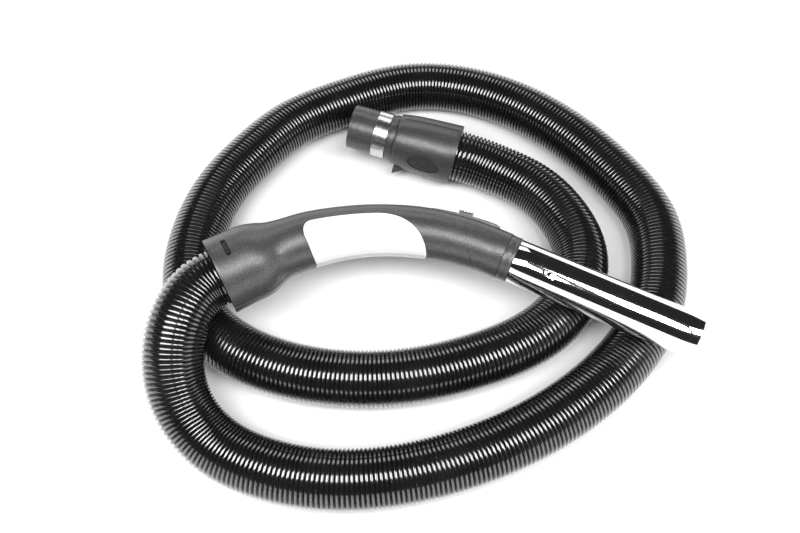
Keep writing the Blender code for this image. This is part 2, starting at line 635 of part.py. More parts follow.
def cuff_stations():
    lip = CUFF_START + CUFF_LIP
    after = COLLAR_GROOVE + COLLAR_GROOVE_LENGTH
    hollow = steps(lip + STEP_RUN, COLLAR_GROOVE - STEP_RUN, 8.5 * MM)
    return [CUFF_START, lip, *hollow, COLLAR_GROOVE, after, after + STEP_RUN, CUFF_REAR]


def button_oval(name, grown, turn):
    """An upright oval that cuts or trims to a button's outline; it reaches through the whole cuff wall."""
    return peg(name, (BUTTON_LENGTH / 2 + grown, BUTTON_WIDTH / 2 + grown), SPIGOT_REAR_R - 2 * CLEAR,
               CUFF_REAR_R + 4 * CLEAR, standing_frame(on_connector, BUTTON_AT, turn), 32)


def make_button(name, turn, finish):
    """A latch button: an oval pad that follows the cuff, a lip behind the wall of the cuff, and a stem."""
    def patch(label, near, far, grown):
        half_turn = (BUTTON_WIDTH / 2 + grown + CLEAR) / SPIGOT_R
        half = BUTTON_LENGTH / 2 + grown + CLEAR
        return plate(label, steps(turn - half_turn, turn + half_turn, math.radians(9.0)),
                     lambda angle: steps(BUTTON_AT - half, BUTTON_AT + half, 9 * MM),
                     lambda a: cuff_outer(a) - far, lambda a: cuff_outer(a) - near, on_connector)

    lip_near = CUFF_WALL + GAP
    lip_far = lip_near + BUTTON_LIP
    pad = patch(name, BUTTON_SUNK, lip_near + BUTTON_BACK, 0.0)
    pad.data.materials.append(finish)
    boolean(pad, button_oval(name + "_outline", 0.0, turn), "INTERSECT")
    lip = patch(name + "_lip", lip_near, lip_far, BUTTON_LIP)
    boolean(lip, button_oval(name + "_lip_outline", BUTTON_LIP, turn), "INTERSECT")
    boolean(pad, lip, "UNION")
    frame = standing_frame(on_connector, BUTTON_AT, turn)
    stem_end = SPIGOT_REAR_R + GAP + BUTTON_TRAVEL
    stem_top = cuff_outer(BUTTON_AT) - lip_far + BUTTON_BACK
    boolean(pad, peg(name + "_stem", (BUTTON_STEM_R,) * 2, stem_end, stem_top, frame, 16), "UNION")
    floor = cuff_outer(BUTTON_AT) - BUTTON_SUNK - DIMPLE_DEPTH
    boolean(pad, peg(name + "_dimple", (DIMPLE_R,) * 2, floor, floor + 2 * CLEAR, frame))
    return lip_far


def make_button_spring(name, turn, lip_far, finish):
    """A coil spring between the spigot and the button's lip, round the button's stem."""
    frame = standing_frame(on_connector, BUTTON_AT, turn)
    low = SPIGOT_REAR_R + GAP + WIRE_R
    high = cuff_outer(BUTTON_AT) - lip_far - GAP - WIRE_R
    count = round(SPRING_TURNS * 12)
    curve = bpy.data.curves.new(name, "CURVE")
    curve.dimensions = "3D"
    curve.bevel_depth = WIRE_R
    curve.bevel_resolution = 1
    curve.render_resolution_u = 0
    curve.use_fill_caps = True
    spline = curve.splines.new("POLY")
    spline.points.add(count)
    for i, point in enumerate(spline.points):
        angle = 2 * math.pi * SPRING_TURNS * i / count
        height = low + (high - low) * i / count
        point.co = (*(frame @ Vector((-SPRING_R * math.cos(angle), SPRING_R * math.sin(angle), height))), 1.0)
    add_object(name, curve, finish)


def make_cuff(name, start, finish):
    """Half of the cuff, with the opening of its button in the middle."""
    middle = start + math.pi / 2
    lift = CONNECTOR_FRAME.to_3x3() @ Vector((0, math.cos(middle), math.sin(middle))) * SEAM
    cuff = plate(name, steps(start, start + math.pi, ARC_STEP), lambda turn: cuff_stations(),
                 cuff_inner, cuff_outer, lambda a, turn, r: on_connector(a, turn, r) + lift, finish)
    boolean(cuff, button_oval(name + "_opening", GAP, middle))
    return cuff


def make_lug(cuff):
    """A wedge that locates the connector in its socket: flat at the front and sloping to the rear."""
    base_r = cuff_outer(LUG_SPAN[0])
    lug_r = base_r + LUG_RISE
    wedge = rounded_bar("cuff_lug", LUG_SPAN[1] - LUG_SPAN[0], LUG_THICK, base_r - OVERLAP, lug_r, 0.0,
                        standing_frame(on_connector, sum(LUG_SPAN) / 2, LUG_TURN))
    rear = on_connector(LUG_SPAN[1], LUG_TURN, lug_r)
    root = on_connector(LUG_SPAN[1], LUG_TURN, cuff_outer(LUG_SPAN[1]) + LUG_ROOT)
    for v in wedge.data.vertices:
        if (v.co - rear).length < LUG_THICK:
            v.co += root - rear
    boolean(cuff, wedge, "UNION")


def make_spigot(finish):
    """The spigot that plugs into the machine, with a flange that the cuff turns behind."""
    tip_r = SPIGOT_R - SPIGOT_TIP_DROP
    ridge = BAND_SPAN[1] + RIDGE_FROM_BAND
    ridge_end = ridge + RIDGE_LENGTH
    ridge_r = SPIGOT_R + RIDGE_RISE
    flange = CUFF_START + CUFF_LIP + GAP
    flange_end = flange + SPIGOT_FLANGE
    flange_r = cuff_inner(flange) - GAP
    turned("machine_spigot", [
        (0, SPIGOT_BORE_R), (0, tip_r), (SPIGOT_TIP, tip_r), (SPIGOT_TIP + SPIGOT_TIP_DROP, SPIGOT_R),
        (ridge, SPIGOT_R), (ridge, ridge_r), (ridge_end, ridge_r), (ridge_end, SPIGOT_R),
        (flange, SPIGOT_R), (flange, flange_r), (flange_end, flange_r), (flange_end, SPIGOT_REAR_R),
        (SPIGOT_LENGTH, SPIGOT_REAR_R), (SPIGOT_LENGTH, SPIGOT_REAR_BORE_R),
        (flange + SPIGOT_STEP, SPIGOT_REAR_BORE_R), (flange + SPIGOT_STEP, SPIGOT_BORE_R),
    ], CONNECTOR_FRAME, finish)


def make_connector(shell, steel, seal):
    make_spigot(shell)
    gap_turn = BAND_SPLIT / SPIGOT_R / 2
    band_turns = steps(BAND_TURN + gap_turn, BAND_TURN + 2 * math.pi - gap_turn, ARC_STEP)
    plate("contact_band", band_turns, lambda turn: list(BAND_SPAN), lambda a: SPIGOT_R + GAP,
          lambda a: SPIGOT_R + GAP + BAND_THICK, on_connector, steel)
    seal_start = SPIGOT_LENGTH + GAP
    seal_end = seal_start + DUCT_SEAL
    seal_r = SPIGOT_REAR_R + DUCT_SEAL_RISE
    seal_bore = SPIGOT_REAR_BORE_R - DUCT_SEAL_INSET
    turned("duct_seal", [
        (seal_start, seal_bore), (seal_start, seal_r), (seal_end, seal_r), (seal_end, seal_bore),
    ], CONNECTOR_FRAME, seal)
    make_lug(make_cuff("cuff_shell_near", CUFF_SPLIT, shell))
    make_cuff("cuff_shell_far", CUFF_SPLIT + math.pi, shell)
    for side, turn in (("near", BUTTON_TURN), ("far", BUTTON_TURN + math.pi)):
        lip_far = make_button("release_button_" + side, turn, shell)
        make_button_spring("button_spring_" + side, turn, lip_far, steel)


def main():
    clear_scene()
    hose_black = material("hose_black", (0.012, 0.012, 0.013), 0.28)
    fitting_grey = material("fitting_grey", (0.085, 0.082, 0.083), 0.38)
    collar_black = material("collar_black", (0.02, 0.02, 0.02), 0.5)
    panel_white = material("panel_white", (0.80, 0.80, 0.80), 0.2)
    panel_grey = material("panel_grey", (0.55, 0.55, 0.56), 0.3)
    chrome = material("tube_chrome", (0.86, 0.87, 0.88), 0.06, 1.0)
    steel = material("spring_steel", (0.62, 0.61, 0.60), 0.25, 1.0)
    rubber = material("seal_rubber", (0.03, 0.03, 0.03), 0.7)
    make_hose(hose_black)
    make_hose_ends(collar_black)
    make_shell("handle_shell_upper", 1, fitting_grey)
    make_shell("handle_shell_lower", -1, fitting_grey)
    grip_panel("grip_panel_upper", 1, panel_white, 0.0, PANEL_THICK)
    grip_panel("grip_panel_lower", -1, panel_grey, 0.0, PANEL_THICK)
    make_socket_pieces(collar_black, rubber)
    make_tube(chrome, fitting_grey, steel)
    make_slider(fitting_grey, rubber)
    make_connector(fitting_grey, steel, rubber)


main()
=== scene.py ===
# %% [markdown]
# The hose set of a canister vacuum cleaner lies on a pale surface: a ribbed black hose, a bent handle
# with a chrome tube, and the connector that plugs into the machine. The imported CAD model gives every
# place and size. This script gives the pieces their finished shapes and finishes.

# %% Load the frame
import math

import bmesh
import bpy
import numpy as np
from mathutils import Matrix, Vector


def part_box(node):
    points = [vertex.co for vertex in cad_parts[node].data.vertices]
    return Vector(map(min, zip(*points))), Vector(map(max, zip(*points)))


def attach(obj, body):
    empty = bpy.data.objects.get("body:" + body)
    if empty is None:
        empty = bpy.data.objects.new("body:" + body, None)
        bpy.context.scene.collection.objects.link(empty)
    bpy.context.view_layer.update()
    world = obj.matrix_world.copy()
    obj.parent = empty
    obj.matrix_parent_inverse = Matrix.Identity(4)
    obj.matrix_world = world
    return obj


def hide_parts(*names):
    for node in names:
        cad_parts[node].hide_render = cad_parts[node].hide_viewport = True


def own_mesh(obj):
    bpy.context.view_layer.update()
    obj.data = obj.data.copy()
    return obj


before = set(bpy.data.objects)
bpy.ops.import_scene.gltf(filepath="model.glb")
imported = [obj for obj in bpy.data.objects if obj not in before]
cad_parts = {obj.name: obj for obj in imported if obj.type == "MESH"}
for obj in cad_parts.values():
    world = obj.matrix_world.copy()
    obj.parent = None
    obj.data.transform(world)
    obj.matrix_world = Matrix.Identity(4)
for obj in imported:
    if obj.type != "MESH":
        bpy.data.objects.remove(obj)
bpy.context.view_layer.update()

MM = 0.001
FLOOR_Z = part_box("hose")[0].z

# %% [markdown]
# The camera looks down on the coil at a steep angle. It comes first, because the cord's check reads it.

# %% Camera
camera_data = bpy.data.cameras.new("camera")
camera_data.sensor_width = 36.0
camera_data.lens = 32.445
camera = bpy.data.objects.new("camera", camera_data)
bpy.context.scene.collection.objects.link(camera)
camera.location = (-0.1089, -0.2816, FLOOR_Z + 0.5614)
camera.rotation_euler = (math.radians(28.0), 0.0, math.radians(25.79))
bpy.context.scene.camera = camera

# %% [markdown]
# Both fittings are built around a centreline, which bends in the handle and is straight in the connector.
# These values are the ones that the CAD model was built on. A profile gives distances along the
# centreline in millimetres, each with a share of the way from its smaller radius to its larger one.

# %% Sizes that the pieces share
GAP = 0.3 * MM
SEAM = 0.15 * MM
HOSE_R = 22.5 * MM
TUBE_R = 17.5 * MM
TUBE_WALL = 1.0 * MM
TUBE_LENGTH = 145.0 * MM
TUBE_MID_R = TUBE_R - TUBE_WALL / 2
BEND_R = 200.0 * MM
BEND_START = 15.0 * MM
BEND_SWEEP = math.radians(55.0)
BEND_END = BEND_START + BEND_R * BEND_SWEEP
HANDLE_END = BEND_END + 35.0 * MM
SOCKET_START = HANDLE_END - 30.0 * MM
SOCKET_R = HOSE_R + 4.7 * MM
MOUTH_R = SOCKET_R + 3.1 * MM
GRIP_START_R = 18.6 * MM
SHELL_START = 8.8 * MM
SLEEVE_SEAT = 20.5 * MM
CUFF_FRONT_R = 22.8 * MM
CUFF_REAR_R = 27.0 * MM
CUFF_START = 43.0 * MM
CUFF_REAR = 99.0 * MM
SPIGOT_R = 20.0 * MM
SPIGOT_BORE_R = 17.0 * MM
HANDLE_TILT = Matrix.Rotation(math.radians(1.0), 4, "Y")
GRIP_PROFILE = (
    (8.8, 0.0), (24.0, 0.013), (39.0, 0.056), (53.0, 0.077), (71.6, 0.154), (105.0, 0.184),
    (142.0, 0.252), (168.0, 0.350), (184.0, 0.355), (195.0, 0.479), (202.0, 0.709), (211.0, 0.932),
    (226.0, 0.974), (242.0, 1.0),
)
CUFF_PROFILE = ((43.0, 0.0), (50.0, 0.262), (58.0, 0.5), (70.0, 0.690), (85.0, 0.857), (99.0, 1.0))
print(f"handle {HANDLE_END / MM:.0f} mm along its bend, cuff {(CUFF_REAR - CUFF_START) / MM:.0f} mm long")

# %% [markdown]
# The outline of a fitting is its radius at any distance: a smooth curve through the points of its
# profile.


# %% Outlines of the handle and the cuff
def profile_radius(profile, distance, start_r, end_r):
    """Radius at a distance along a profile of shares, on a smooth curve through them."""
    xs = np.array([p[0] for p in profile]) * MM
    ys = np.array([start_r + share * (end_r - start_r) for _, share in profile])
    slopes = np.diff(ys) / np.diff(xs)
    tangents = np.concatenate([slopes[:1], (slopes[:-1] + slopes[1:]) / 2, slopes[-1:]])
    k = int(np.clip(np.searchsorted(xs, distance, side="right") - 1, 0, len(xs) - 2))
    step = xs[k + 1] - xs[k]
    u = min(1.0, max(0.0, (distance - xs[k]) / step))
    start = (2 * u**3 - 3 * u**2 + 1) * ys[k] + (u**3 - 2 * u**2 + u) * step * tangents[k]
    return float(start + (3 * u**2 - 2 * u**3) * ys[k + 1] + (u**3 - u**2) * step * tangents[k + 1])


def handle_outer(s):
    return profile_radius(GRIP_PROFILE, s, GRIP_START_R, MOUTH_R)


def cuff_outer(a):
    return profile_radius(CUFF_PROFILE, a, CUFF_FRONT_R, CUFF_REAR_R)


# %% [markdown]
# A frame stands at every distance along the handle. A small function then turns a distance, an angle
# round the centreline and a radius into a place.


# %% Places on the handle
def handle_frame(s):
    """Frame at a distance along the handle: X towards the hose, Y to the inside of the bend, Z up."""
    turn = min(BEND_SWEEP, max(0.0, (s - BEND_START) / BEND_R))
    centre = Vector((-TUBE_LENGTH - BEND_START - BEND_R * math.sin(turn),
                     -BEND_R * (1 - math.cos(turn)), -TUBE_MID_R))
    along = Vector((-math.cos(turn), -math.sin(turn), 0.0))
    inside = Vector((math.sin(turn), -math.cos(turn), 0.0))
    straight = s - BEND_START if s < BEND_START else max(0.0, s - BEND_END)
    local = Matrix((along, inside, Vector((0, 0, 1)))).transposed().to_4x4()
    return HANDLE_TILT @ Matrix.Translation(centre + along * straight) @ local


def on_handle(s, turn, radius):
    return handle_frame(s) @ Vector((0, radius * math.cos(turn), radius * math.sin(turn)))


MOUTH_FRAME = handle_frame(HANDLE_END)
MOUTH = MOUTH_FRAME.translation
MOUTH_OUT = MOUTH_FRAME.to_3x3() @ Vector((1, 0, 0))
print("mouth of the handle, mm:", [round(v / MM, 1) for v in MOUTH])

# %% [markdown]
# The connector lies inside the coil and tips up a little, with the cuff's rear edge just clear of the
# floor. Its distances run from the open end of the spigot towards the hose.

# %% Places on the connector
CONNECTOR_HEADING = math.radians(-170.04)
CONNECTOR_PITCH = math.radians(4.9)
CUFF_FOOT = 0.5 * MM
CONNECTOR_OUT = Vector((
    math.cos(CONNECTOR_HEADING) * math.cos(CONNECTOR_PITCH),
    math.sin(CONNECTOR_HEADING) * math.cos(CONNECTOR_PITCH),
    math.sin(CONNECTOR_PITCH),
))
CONNECTOR_SIDE = Vector((-math.sin(CONNECTOR_HEADING), math.cos(CONNECTOR_HEADING), 0.0))
CONNECTOR_HEIGHT = CUFF_REAR_R + CUFF_REAR * math.sin(CONNECTOR_PITCH) + CUFF_FOOT
SPIGOT_END = Vector((-333.5 * MM, 82.7 * MM, FLOOR_Z + CONNECTOR_HEIGHT))
CONNECTOR_FRAME = Matrix.Translation(SPIGOT_END) @ Matrix(
    (-CONNECTOR_OUT, CONNECTOR_SIDE, CONNECTOR_OUT.cross(CONNECTOR_SIDE))).transposed().to_4x4()


def on_connector(a, turn, radius):
    return CONNECTOR_FRAME @ Vector((a, radius * math.cos(turn), radius * math.sin(turn)))


print("open end of the spigot, mm:", [round(v / MM, 1) for v in SPIGOT_END])

# %% [markdown]
# The hose is one length of springy plastic tube. It leaves the handle straight, comes down to the floor,
# and lies in a coil and a half before it climbs into the connector. Its route is a list of given points:
# x, y, and lift above lying flat, in hose diameters.

# %% Route of the hose
ROUTE = (
    (-0.2220, 0.1025, 0.07), (-0.1930, 0.1045, 0.01), (-0.1600, 0.1005, 0.0),
    (-0.1270, 0.0840, 0.0), (-0.1010, 0.0560, 0.0), (-0.0920, 0.0200, 0.0),
    (-0.1035, -0.0245, 0.0), (-0.1405, -0.0715, 0.0), (-0.1906, -0.1115, 0.0),
    (-0.2320, -0.1325, 0.0), (-0.2800, -0.1460, 0.0), (-0.3270, -0.1470, 0.0),
    (-0.3630, -0.1350, 0.0), (-0.3895, -0.1060, 0.0), (-0.4055, -0.0680, 0.0),
    (-0.4120, -0.0200, 0.0), (-0.4060, 0.0230, 0.0), (-0.3910, 0.0700, 0.0),
    (-0.3610, 0.1120, 0.0), (-0.3120, 0.1590, 0.0), (-0.2470, 0.1815, 0.0),
    (-0.1610, 0.1730, 0.0), (-0.0930, 0.1425, 0.0), (-0.0560, 0.1130, 0.0),
    (-0.0380, 0.0770, 0.0), (-0.0295, 0.0380, 0.0), (-0.0350, -0.0120, 0.0),
    (-0.0580, -0.0680, 0.0), (-0.1000, -0.1270, 0.0), (-0.1470, -0.1710, 0.0),
    (-0.1970, -0.2020, 0.0), (-0.2490, -0.2180, 0.0), (-0.2980, -0.2180, 0.08),
    (-0.3300, -0.2025, 0.40), (-0.3470, -0.1775, 0.78), (-0.3530, -0.1510, 0.99),
)
print(f"{len(ROUTE)} points on the route")

# %% [markdown]
# One smooth curve joins the points. Its bending is spread evenly, as in a springy tube, and each end
# starts in a given direction.


# %% Smooth curve
def smooth_curve(points, start_tangent, end_tangent, spacing):
    """Points at an even spacing on the smooth curve through the given points, clamped at both ends."""
    p = np.array(points, float)
    h = np.linalg.norm(np.diff(p, axis=0), axis=1)
    count = len(p)
    matrix = np.eye(count)
    right = np.zeros_like(p)
    right[0], right[-1] = start_tangent, end_tangent
    for i in range(1, count - 1):
        matrix[i, i - 1:i + 2] = 1 / h[i - 1], 2 / h[i - 1] + 2 / h[i], 1 / h[i]
        right[i] = 3 * ((p[i] - p[i - 1]) / h[i - 1] ** 2 + (p[i + 1] - p[i]) / h[i] ** 2)
    tangent = np.linalg.solve(matrix, right)
    fine = []
    for i in range(count - 1):
        for u in np.linspace(0, 1, 40, endpoint=i == count - 2):
            fine.append((2 * u**3 - 3 * u**2 + 1) * p[i] + (u**3 - 2 * u**2 + u) * h[i] * tangent[i]
                        + (3 * u**2 - 2 * u**3) * p[i + 1] + (u**3 - u**2) * h[i] * tangent[i + 1])
    fine = np.array(fine)
    lengths = np.concatenate([[0], np.cumsum(np.linalg.norm(np.diff(fine, axis=0), axis=1))])
    even = np.linspace(0, lengths[-1], 1 + math.ceil(lengths[-1] / spacing))
    return np.stack([np.interp(even, lengths, fine[:, i]) for i in range(3)], axis=1)


# %% [markdown]
# The hose's line runs straight inside both fittings and a little way out of them, and follows the curve
# between.

# %% Line of the hose
HOSE_IN_CUFF = 8.7 * MM
HOSE_IN_HANDLE = 24.0 * MM
HOSE_LEAD = 4.0 * MM
LINE_STEP = 3.0 * MM

lying = [(x, y, FLOOR_Z + 2 * HOSE_R * (0.5 + lift)) for x, y, lift in ROUTE]
machine_end = on_connector(CUFF_REAR - HOSE_IN_CUFF, 0.0, 0.0)
handle_end = MOUTH - MOUTH_OUT * HOSE_IN_HANDLE
leaving = on_connector(CUFF_REAR + HOSE_LEAD, 0.0, 0.0)
arriving = MOUTH + MOUTH_OUT * HOSE_LEAD
free_run = smooth_curve([leaving, *lying, arriving], -CONNECTOR_OUT, -MOUTH_OUT, LINE_STEP)
hose_line = [Vector(p) for p in ([*machine_end], *free_run, [*handle_end])][::-1]
hose_length = sum((b - a).length for a, b in zip(hose_line, hose_line[1:]))
print(f"hose length {hose_length:.3f} m, {len(hose_line)} points on its line")

# %% [markdown]
# A new piece is a bmesh first. These helpers turn one into an object, keep its faces pointing outwards,
# and write its modifiers into its mesh, so that the finished piece stands at the origin.


# %% Helpers for pieces
def new_piece(name, bm, sharp=35.0):
    bmesh.ops.recalc_face_normals(bm, faces=bm.faces[:])
    mesh = bpy.data.meshes.new(name)
    bm.to_mesh(mesh)
    bm.free()
    mesh.shade_smooth()
    mesh.set_sharp_from_angle(angle=math.radians(sharp))
    piece = bpy.data.objects.new(name, mesh)
    bpy.context.scene.collection.objects.link(piece)
    return piece


def applied(piece, *helpers):
    """Writes a piece's modifiers into its mesh and removes the shapes that they used."""
    graph = bpy.context.evaluated_depsgraph_get()
    piece.data = bpy.data.meshes.new_from_object(piece.evaluated_get(graph))
    piece.modifiers.clear()
    for helper in helpers:
        bpy.data.objects.remove(helper)
    return piece


def cut(piece, *shapes, operation="DIFFERENCE"):
    """Cuts shapes out of a piece one by one, or joins them to it."""
    for shape in shapes:
        modifier = piece.modifiers.new("cut", "BOOLEAN")
        modifier.operation = operation
        modifier.object = shape
        modifier.solver = "EXACT"
        applied(piece, shape)
    return piece


def rounded(piece, width, segments=2, angle=35.0):
    """Softens the sharp edges that a mould or a lathe would leave rounded."""
    modifier = piece.modifiers.new("rounded", "BEVEL")
    modifier.width = width
    modifier.segments = segments
    modifier.limit_method = "ANGLE"
    modifier.angle_limit = math.radians(angle)
    modifier.miter_outer = "MITER_ARC"
    applied(piece)
    piece.data.shade_smooth()
    piece.data.set_sharp_from_angle(angle=math.radians(40.0))
    return piece


# %% [markdown]
# Two shapes make most of the object. A turned ring is spun from an outline, and a plate is a grid that is
# laid on the curved surface of a fitting.


# %% Turned rings and plates
def steps(start, end, largest):
    return [float(v) for v in np.linspace(start, end, 1 + math.ceil(abs(end - start) / largest))]


def turned(name, outline, place_frame, sides=96):
    """A ring spun about a frame's X axis from a closed outline of distances and radii."""
    bm = bmesh.new()
    points = [bm.verts.new((along, 0, radius)) for along, radius in outline]
    edges = [bm.edges.new((points[i], points[i - 1])) for i in range(len(points))]
    bmesh.ops.spin(bm, geom=points + edges, cent=(0, 0, 0), axis=(1, 0, 0),
                   angle=2 * math.pi, steps=sides, use_merge=True)
    bmesh.ops.transform(bm, matrix=place_frame, verts=bm.verts[:])
    return new_piece(name, bm)


def plate(name, rows, columns, inner, outer, place):
    """A grid is extruded once, and each of its points is laid on the curved surface of the piece."""
    across = len(columns(rows[0])) - 1
    bm = bmesh.new()
    bmesh.ops.create_grid(bm, x_segments=across, y_segments=len(rows) - 1, size=0.5)
    lifted = bmesh.ops.extrude_face_region(bm, geom=bm.faces[:], use_keep_orig=True)["geom"]
    top = {v for v in lifted if isinstance(v, bmesh.types.BMVert)}
    for v in bm.verts:
        turn = rows[round((v.co.y + 0.5) * (len(rows) - 1))]
        distance = columns(turn)[round((v.co.x + 0.5) * across)]
        v.co = place(distance, turn, outer(distance) if v in top else inner(distance))
    return new_piece(name, bm)


# %% [markdown]
# Pegs and bars stand on a fitting's axis and point outwards. They serve as studs and as cutters for the
# openings.


# %% Pegs and bars
def standing_frame(place, at, turn):
    """Frame on a fitting's axis: X along the fitting and Z outwards at an angle."""
    middle = place(at, turn, 0.0)
    up = (place(at, turn, 1.0) - middle).normalized()
    along = (place(at + MM, turn, 0.0) - middle).normalized()
    return Matrix.Translation(middle) @ Matrix((along, up.cross(along), up)).transposed().to_4x4()


def peg(name, half_length, half_width, low, high, place, at, turn, sides=64):
    """An oval peg that stands on the axis of a fitting, from one radius to another."""
    bm = bmesh.new()
    bmesh.ops.create_cone(bm, cap_ends=True, segments=sides, radius1=1.0, radius2=1.0, depth=high - low)
    half_side = Matrix.Rotation(math.pi / sides, 3, "Z")
    bmesh.ops.rotate(bm, cent=(0, 0, 0), matrix=half_side, verts=bm.verts[:])
    bmesh.ops.scale(bm, vec=(half_length, half_width, 1.0), verts=bm.verts[:])
    bmesh.ops.translate(bm, vec=(0, 0, (high + low) / 2), verts=bm.verts[:])
    bmesh.ops.transform(bm, matrix=standing_frame(place, at, turn), verts=bm.verts[:])
    return new_piece(name, bm)


def bar(name, length, width, low, high, corner, place, at, turn):
    """An upright bar whose four standing edges are rounded."""
    bm = bmesh.new()
    bmesh.ops.create_cube(bm, size=1.0)
    bmesh.ops.scale(bm, vec=(length, width, high - low), verts=bm.verts[:])
    uprights = [e for e in bm.edges if abs(e.verts[0].co.z - e.verts[1].co.z) > (high - low) / 2]
    bmesh.ops.bevel(bm, geom=uprights, offset=corner, segments=8, profile=0.5, affect="EDGES",
                    material=-1)
    bmesh.ops.translate(bm, vec=(0, 0, (high + low) / 2), verts=bm.verts[:])
    bmesh.ops.transform(bm, matrix=standing_frame(place, at, turn), verts=bm.verts[:])
    return new_piece(name, bm)


# %% [markdown]
# Each finished piece rides on one body of the CAD model and stands for the CAD nodes that it replaces.


# %% Settling a piece on its body
def settle(piece, body, finish, *nodes):
    """Gives a piece its finish, lets it ride on its body and stand for its CAD nodes."""
    piece.data.materials.clear()
    piece.data.materials.append(finish)
    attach(piece, body)
    if nodes:
        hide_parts(*nodes)
    print(f"{piece.name}: {len(piece.data.polygons)} faces")
    return piece


# %% [markdown]
# Finishes are node trees. Writing each Math node by hand hides the idea, so a socket is wrapped in a
# small class: adding or multiplying two wrapped sockets adds the Math node, and make() adds any other.


# %% Shader helper
class Wire:
    """An output socket that Python's own operators can work on."""

    def __init__(self, tree, socket):
        self.tree, self.socket = tree, socket

    def make(self, kind, out=0, settings=(), **inputs):
        node = self.tree.nodes.new(kind)
        for key, value in dict(settings).items():
            setattr(node, key, value)
        for key, value in inputs.items():
            slot = int(key[1:]) if key[0] == "n" and key[1:].isdigit() else key.replace("_", " ")
            if isinstance(value, Wire):
                self.tree.links.new(value.socket, node.inputs[slot])
            else:
                node.inputs[slot].default_value = value
        return Wire(self.tree, node.outputs[out])

    def math(self, operation, first, second):
        return self.make("ShaderNodeMath", settings={"operation": operation}, n0=first, n1=second)

    def __add__(self, other):
        return self.math("ADD", self, other)

    def __sub__(self, other):
        return self.math("SUBTRACT", self, other)

    def __rsub__(self, other):
        return self.math("SUBTRACT", other, self)

    def __mul__(self, other):
        return self.math("MULTIPLY", self, other)

    __radd__ = __add__
    __rmul__ = __mul__

    def above(self, low, high):
        """0 below the low value, 1 above the high one, and a smooth ramp between them."""
        return self.make("ShaderNodeMapRange", settings={"interpolation_type": "SMOOTHSTEP"},
                         Value=self, From_Min=low, From_Max=high, To_Min=0.0, To_Max=1.0)

    def colour_to(self, first, second):
        """The first colour where this value is 0, the second where it is 1, and a mix between them."""
        return self.make("ShaderNodeMix", out=2, settings={"data_type": "RGBA"},
                         n0=self, n6=first, n7=second)


# %% [markdown]
# A finish starts with a Principled material. Its patterns read Object coordinates, so they stay on the
# piece as it moves.


# %% Finish helper
class Finish:
    """A Principled material with a few patterns on Object coordinates at hand."""

    def __init__(self, name, **constants):
        self.material = bpy.data.materials.new(name)
        self.material.use_nodes = True
        self.tree = self.material.node_tree
        self.shader = self.tree.nodes["Principled BSDF"]
        coordinates = self.tree.nodes.new("ShaderNodeTexCoord")
        self.place = Wire(self.tree, coordinates.outputs["Object"])
        for key, value in constants.items():
            self.shader.inputs[key.replace("_", " ")].default_value = value

    def set(self, **inputs):
        for key, value in inputs.items():
            self.tree.links.new(value.socket, self.shader.inputs[key.replace("_", " ")])
        return self

    def stretched(self, *scale):
        """The coordinates with each axis scaled, which draws a pattern out along the smallest one."""
        return self.place.make("ShaderNodeMapping", settings={"vector_type": "POINT"},
                               Vector=self.place, Scale=scale)

    def noise(self, scale, detail=2.0, roughness=0.5, at=None):
        return self.place.make("ShaderNodeTexNoise", Vector=at or self.place, Scale=scale,
                               Detail=detail, Roughness=roughness)

    def specks(self, scale, radius, share):
        """Small round dots: cells of a Voronoi pattern, of which only a share holds a dot."""
        cells = self.tree.nodes.new("ShaderNodeTexVoronoi")
        cells.inputs["Scale"].default_value = scale
        self.tree.links.new(self.place.socket, cells.inputs["Vector"])
        near = 1 - Wire(self.tree, cells.outputs["Distance"]).above(radius * 0.6, radius)
        pick = self.place.make("ShaderNodeSeparateColor", Color=Wire(self.tree, cells.outputs["Color"]))
        return near * pick.above(1 - share, 1 - share + 0.01)

    def bump(self, height, strength, distance):
        return self.place.make("ShaderNodeBump", Height=height, Strength=strength, Distance=distance)


def grey(value, warmth=0.0):
    """A grey, with a little red added and blue taken away where it is warm."""
    return (value * (1 + warmth), value, value * (1 - warmth), 1.0)


# %% [markdown]
# The hose is glossy blown plastic. Its crests are rubbed clean and shine, while a little dust stays in
# the grooves and dulls them. A stored attribute, 1 on a crest and 0 in a groove, carries that pattern.


# %% Hose finish
def hose_finish():
    f = Finish("hose_black", Specular_IOR_Level=0.6, Coat_Weight=1.0, Coat_Roughness=0.08, Coat_IOR=1.7)
    crest = f.place.make("ShaderNodeAttribute", out="Fac", settings={"attribute_name": "crest"})
    dust = f.noise(26.0, 4.0, 0.6).above(0.40, 0.80) * (1 - crest)
    wear = f.noise(140.0, 3.0, 0.6)
    colour = dust.colour_to(grey(0.006), grey(0.035, 0.02))
    dot = f.specks(420.0, 0.16, 0.08)
    f.set(Base_Color=(dot * 0.6).colour_to(colour, grey(0.3)),
          Roughness=0.14 + wear * 0.08 + (1 - crest) * 0.30 + dot * 0.3,
          Normal=f.bump(f.noise(160.0, 2.0), 0.05, 0.0003))
    return f.material


# %% [markdown]
# The ribs of a hose repeat hundreds of times, so one rib is spun about the X axis, an Array modifier
# lines up the rest, and a Curve modifier lays the straight hose along its route. A rib then closes up on
# the inside of a bend and opens on the outside, as the real one does.

# %% Ribbed hose
RIB_PITCH = 3.4 * MM
RIB_DEPTH = 2.1 * MM
RIB_SIDES = 42
HOSE_WALL = 2.5 * MM
END_DEPTH = 3.0 * MM
RIB_SHAPE = ((0.0, 1.0), (0.27, 0.07), (0.5, 0.0), (0.73, 0.07), (1.0, 1.0))   # along, depth


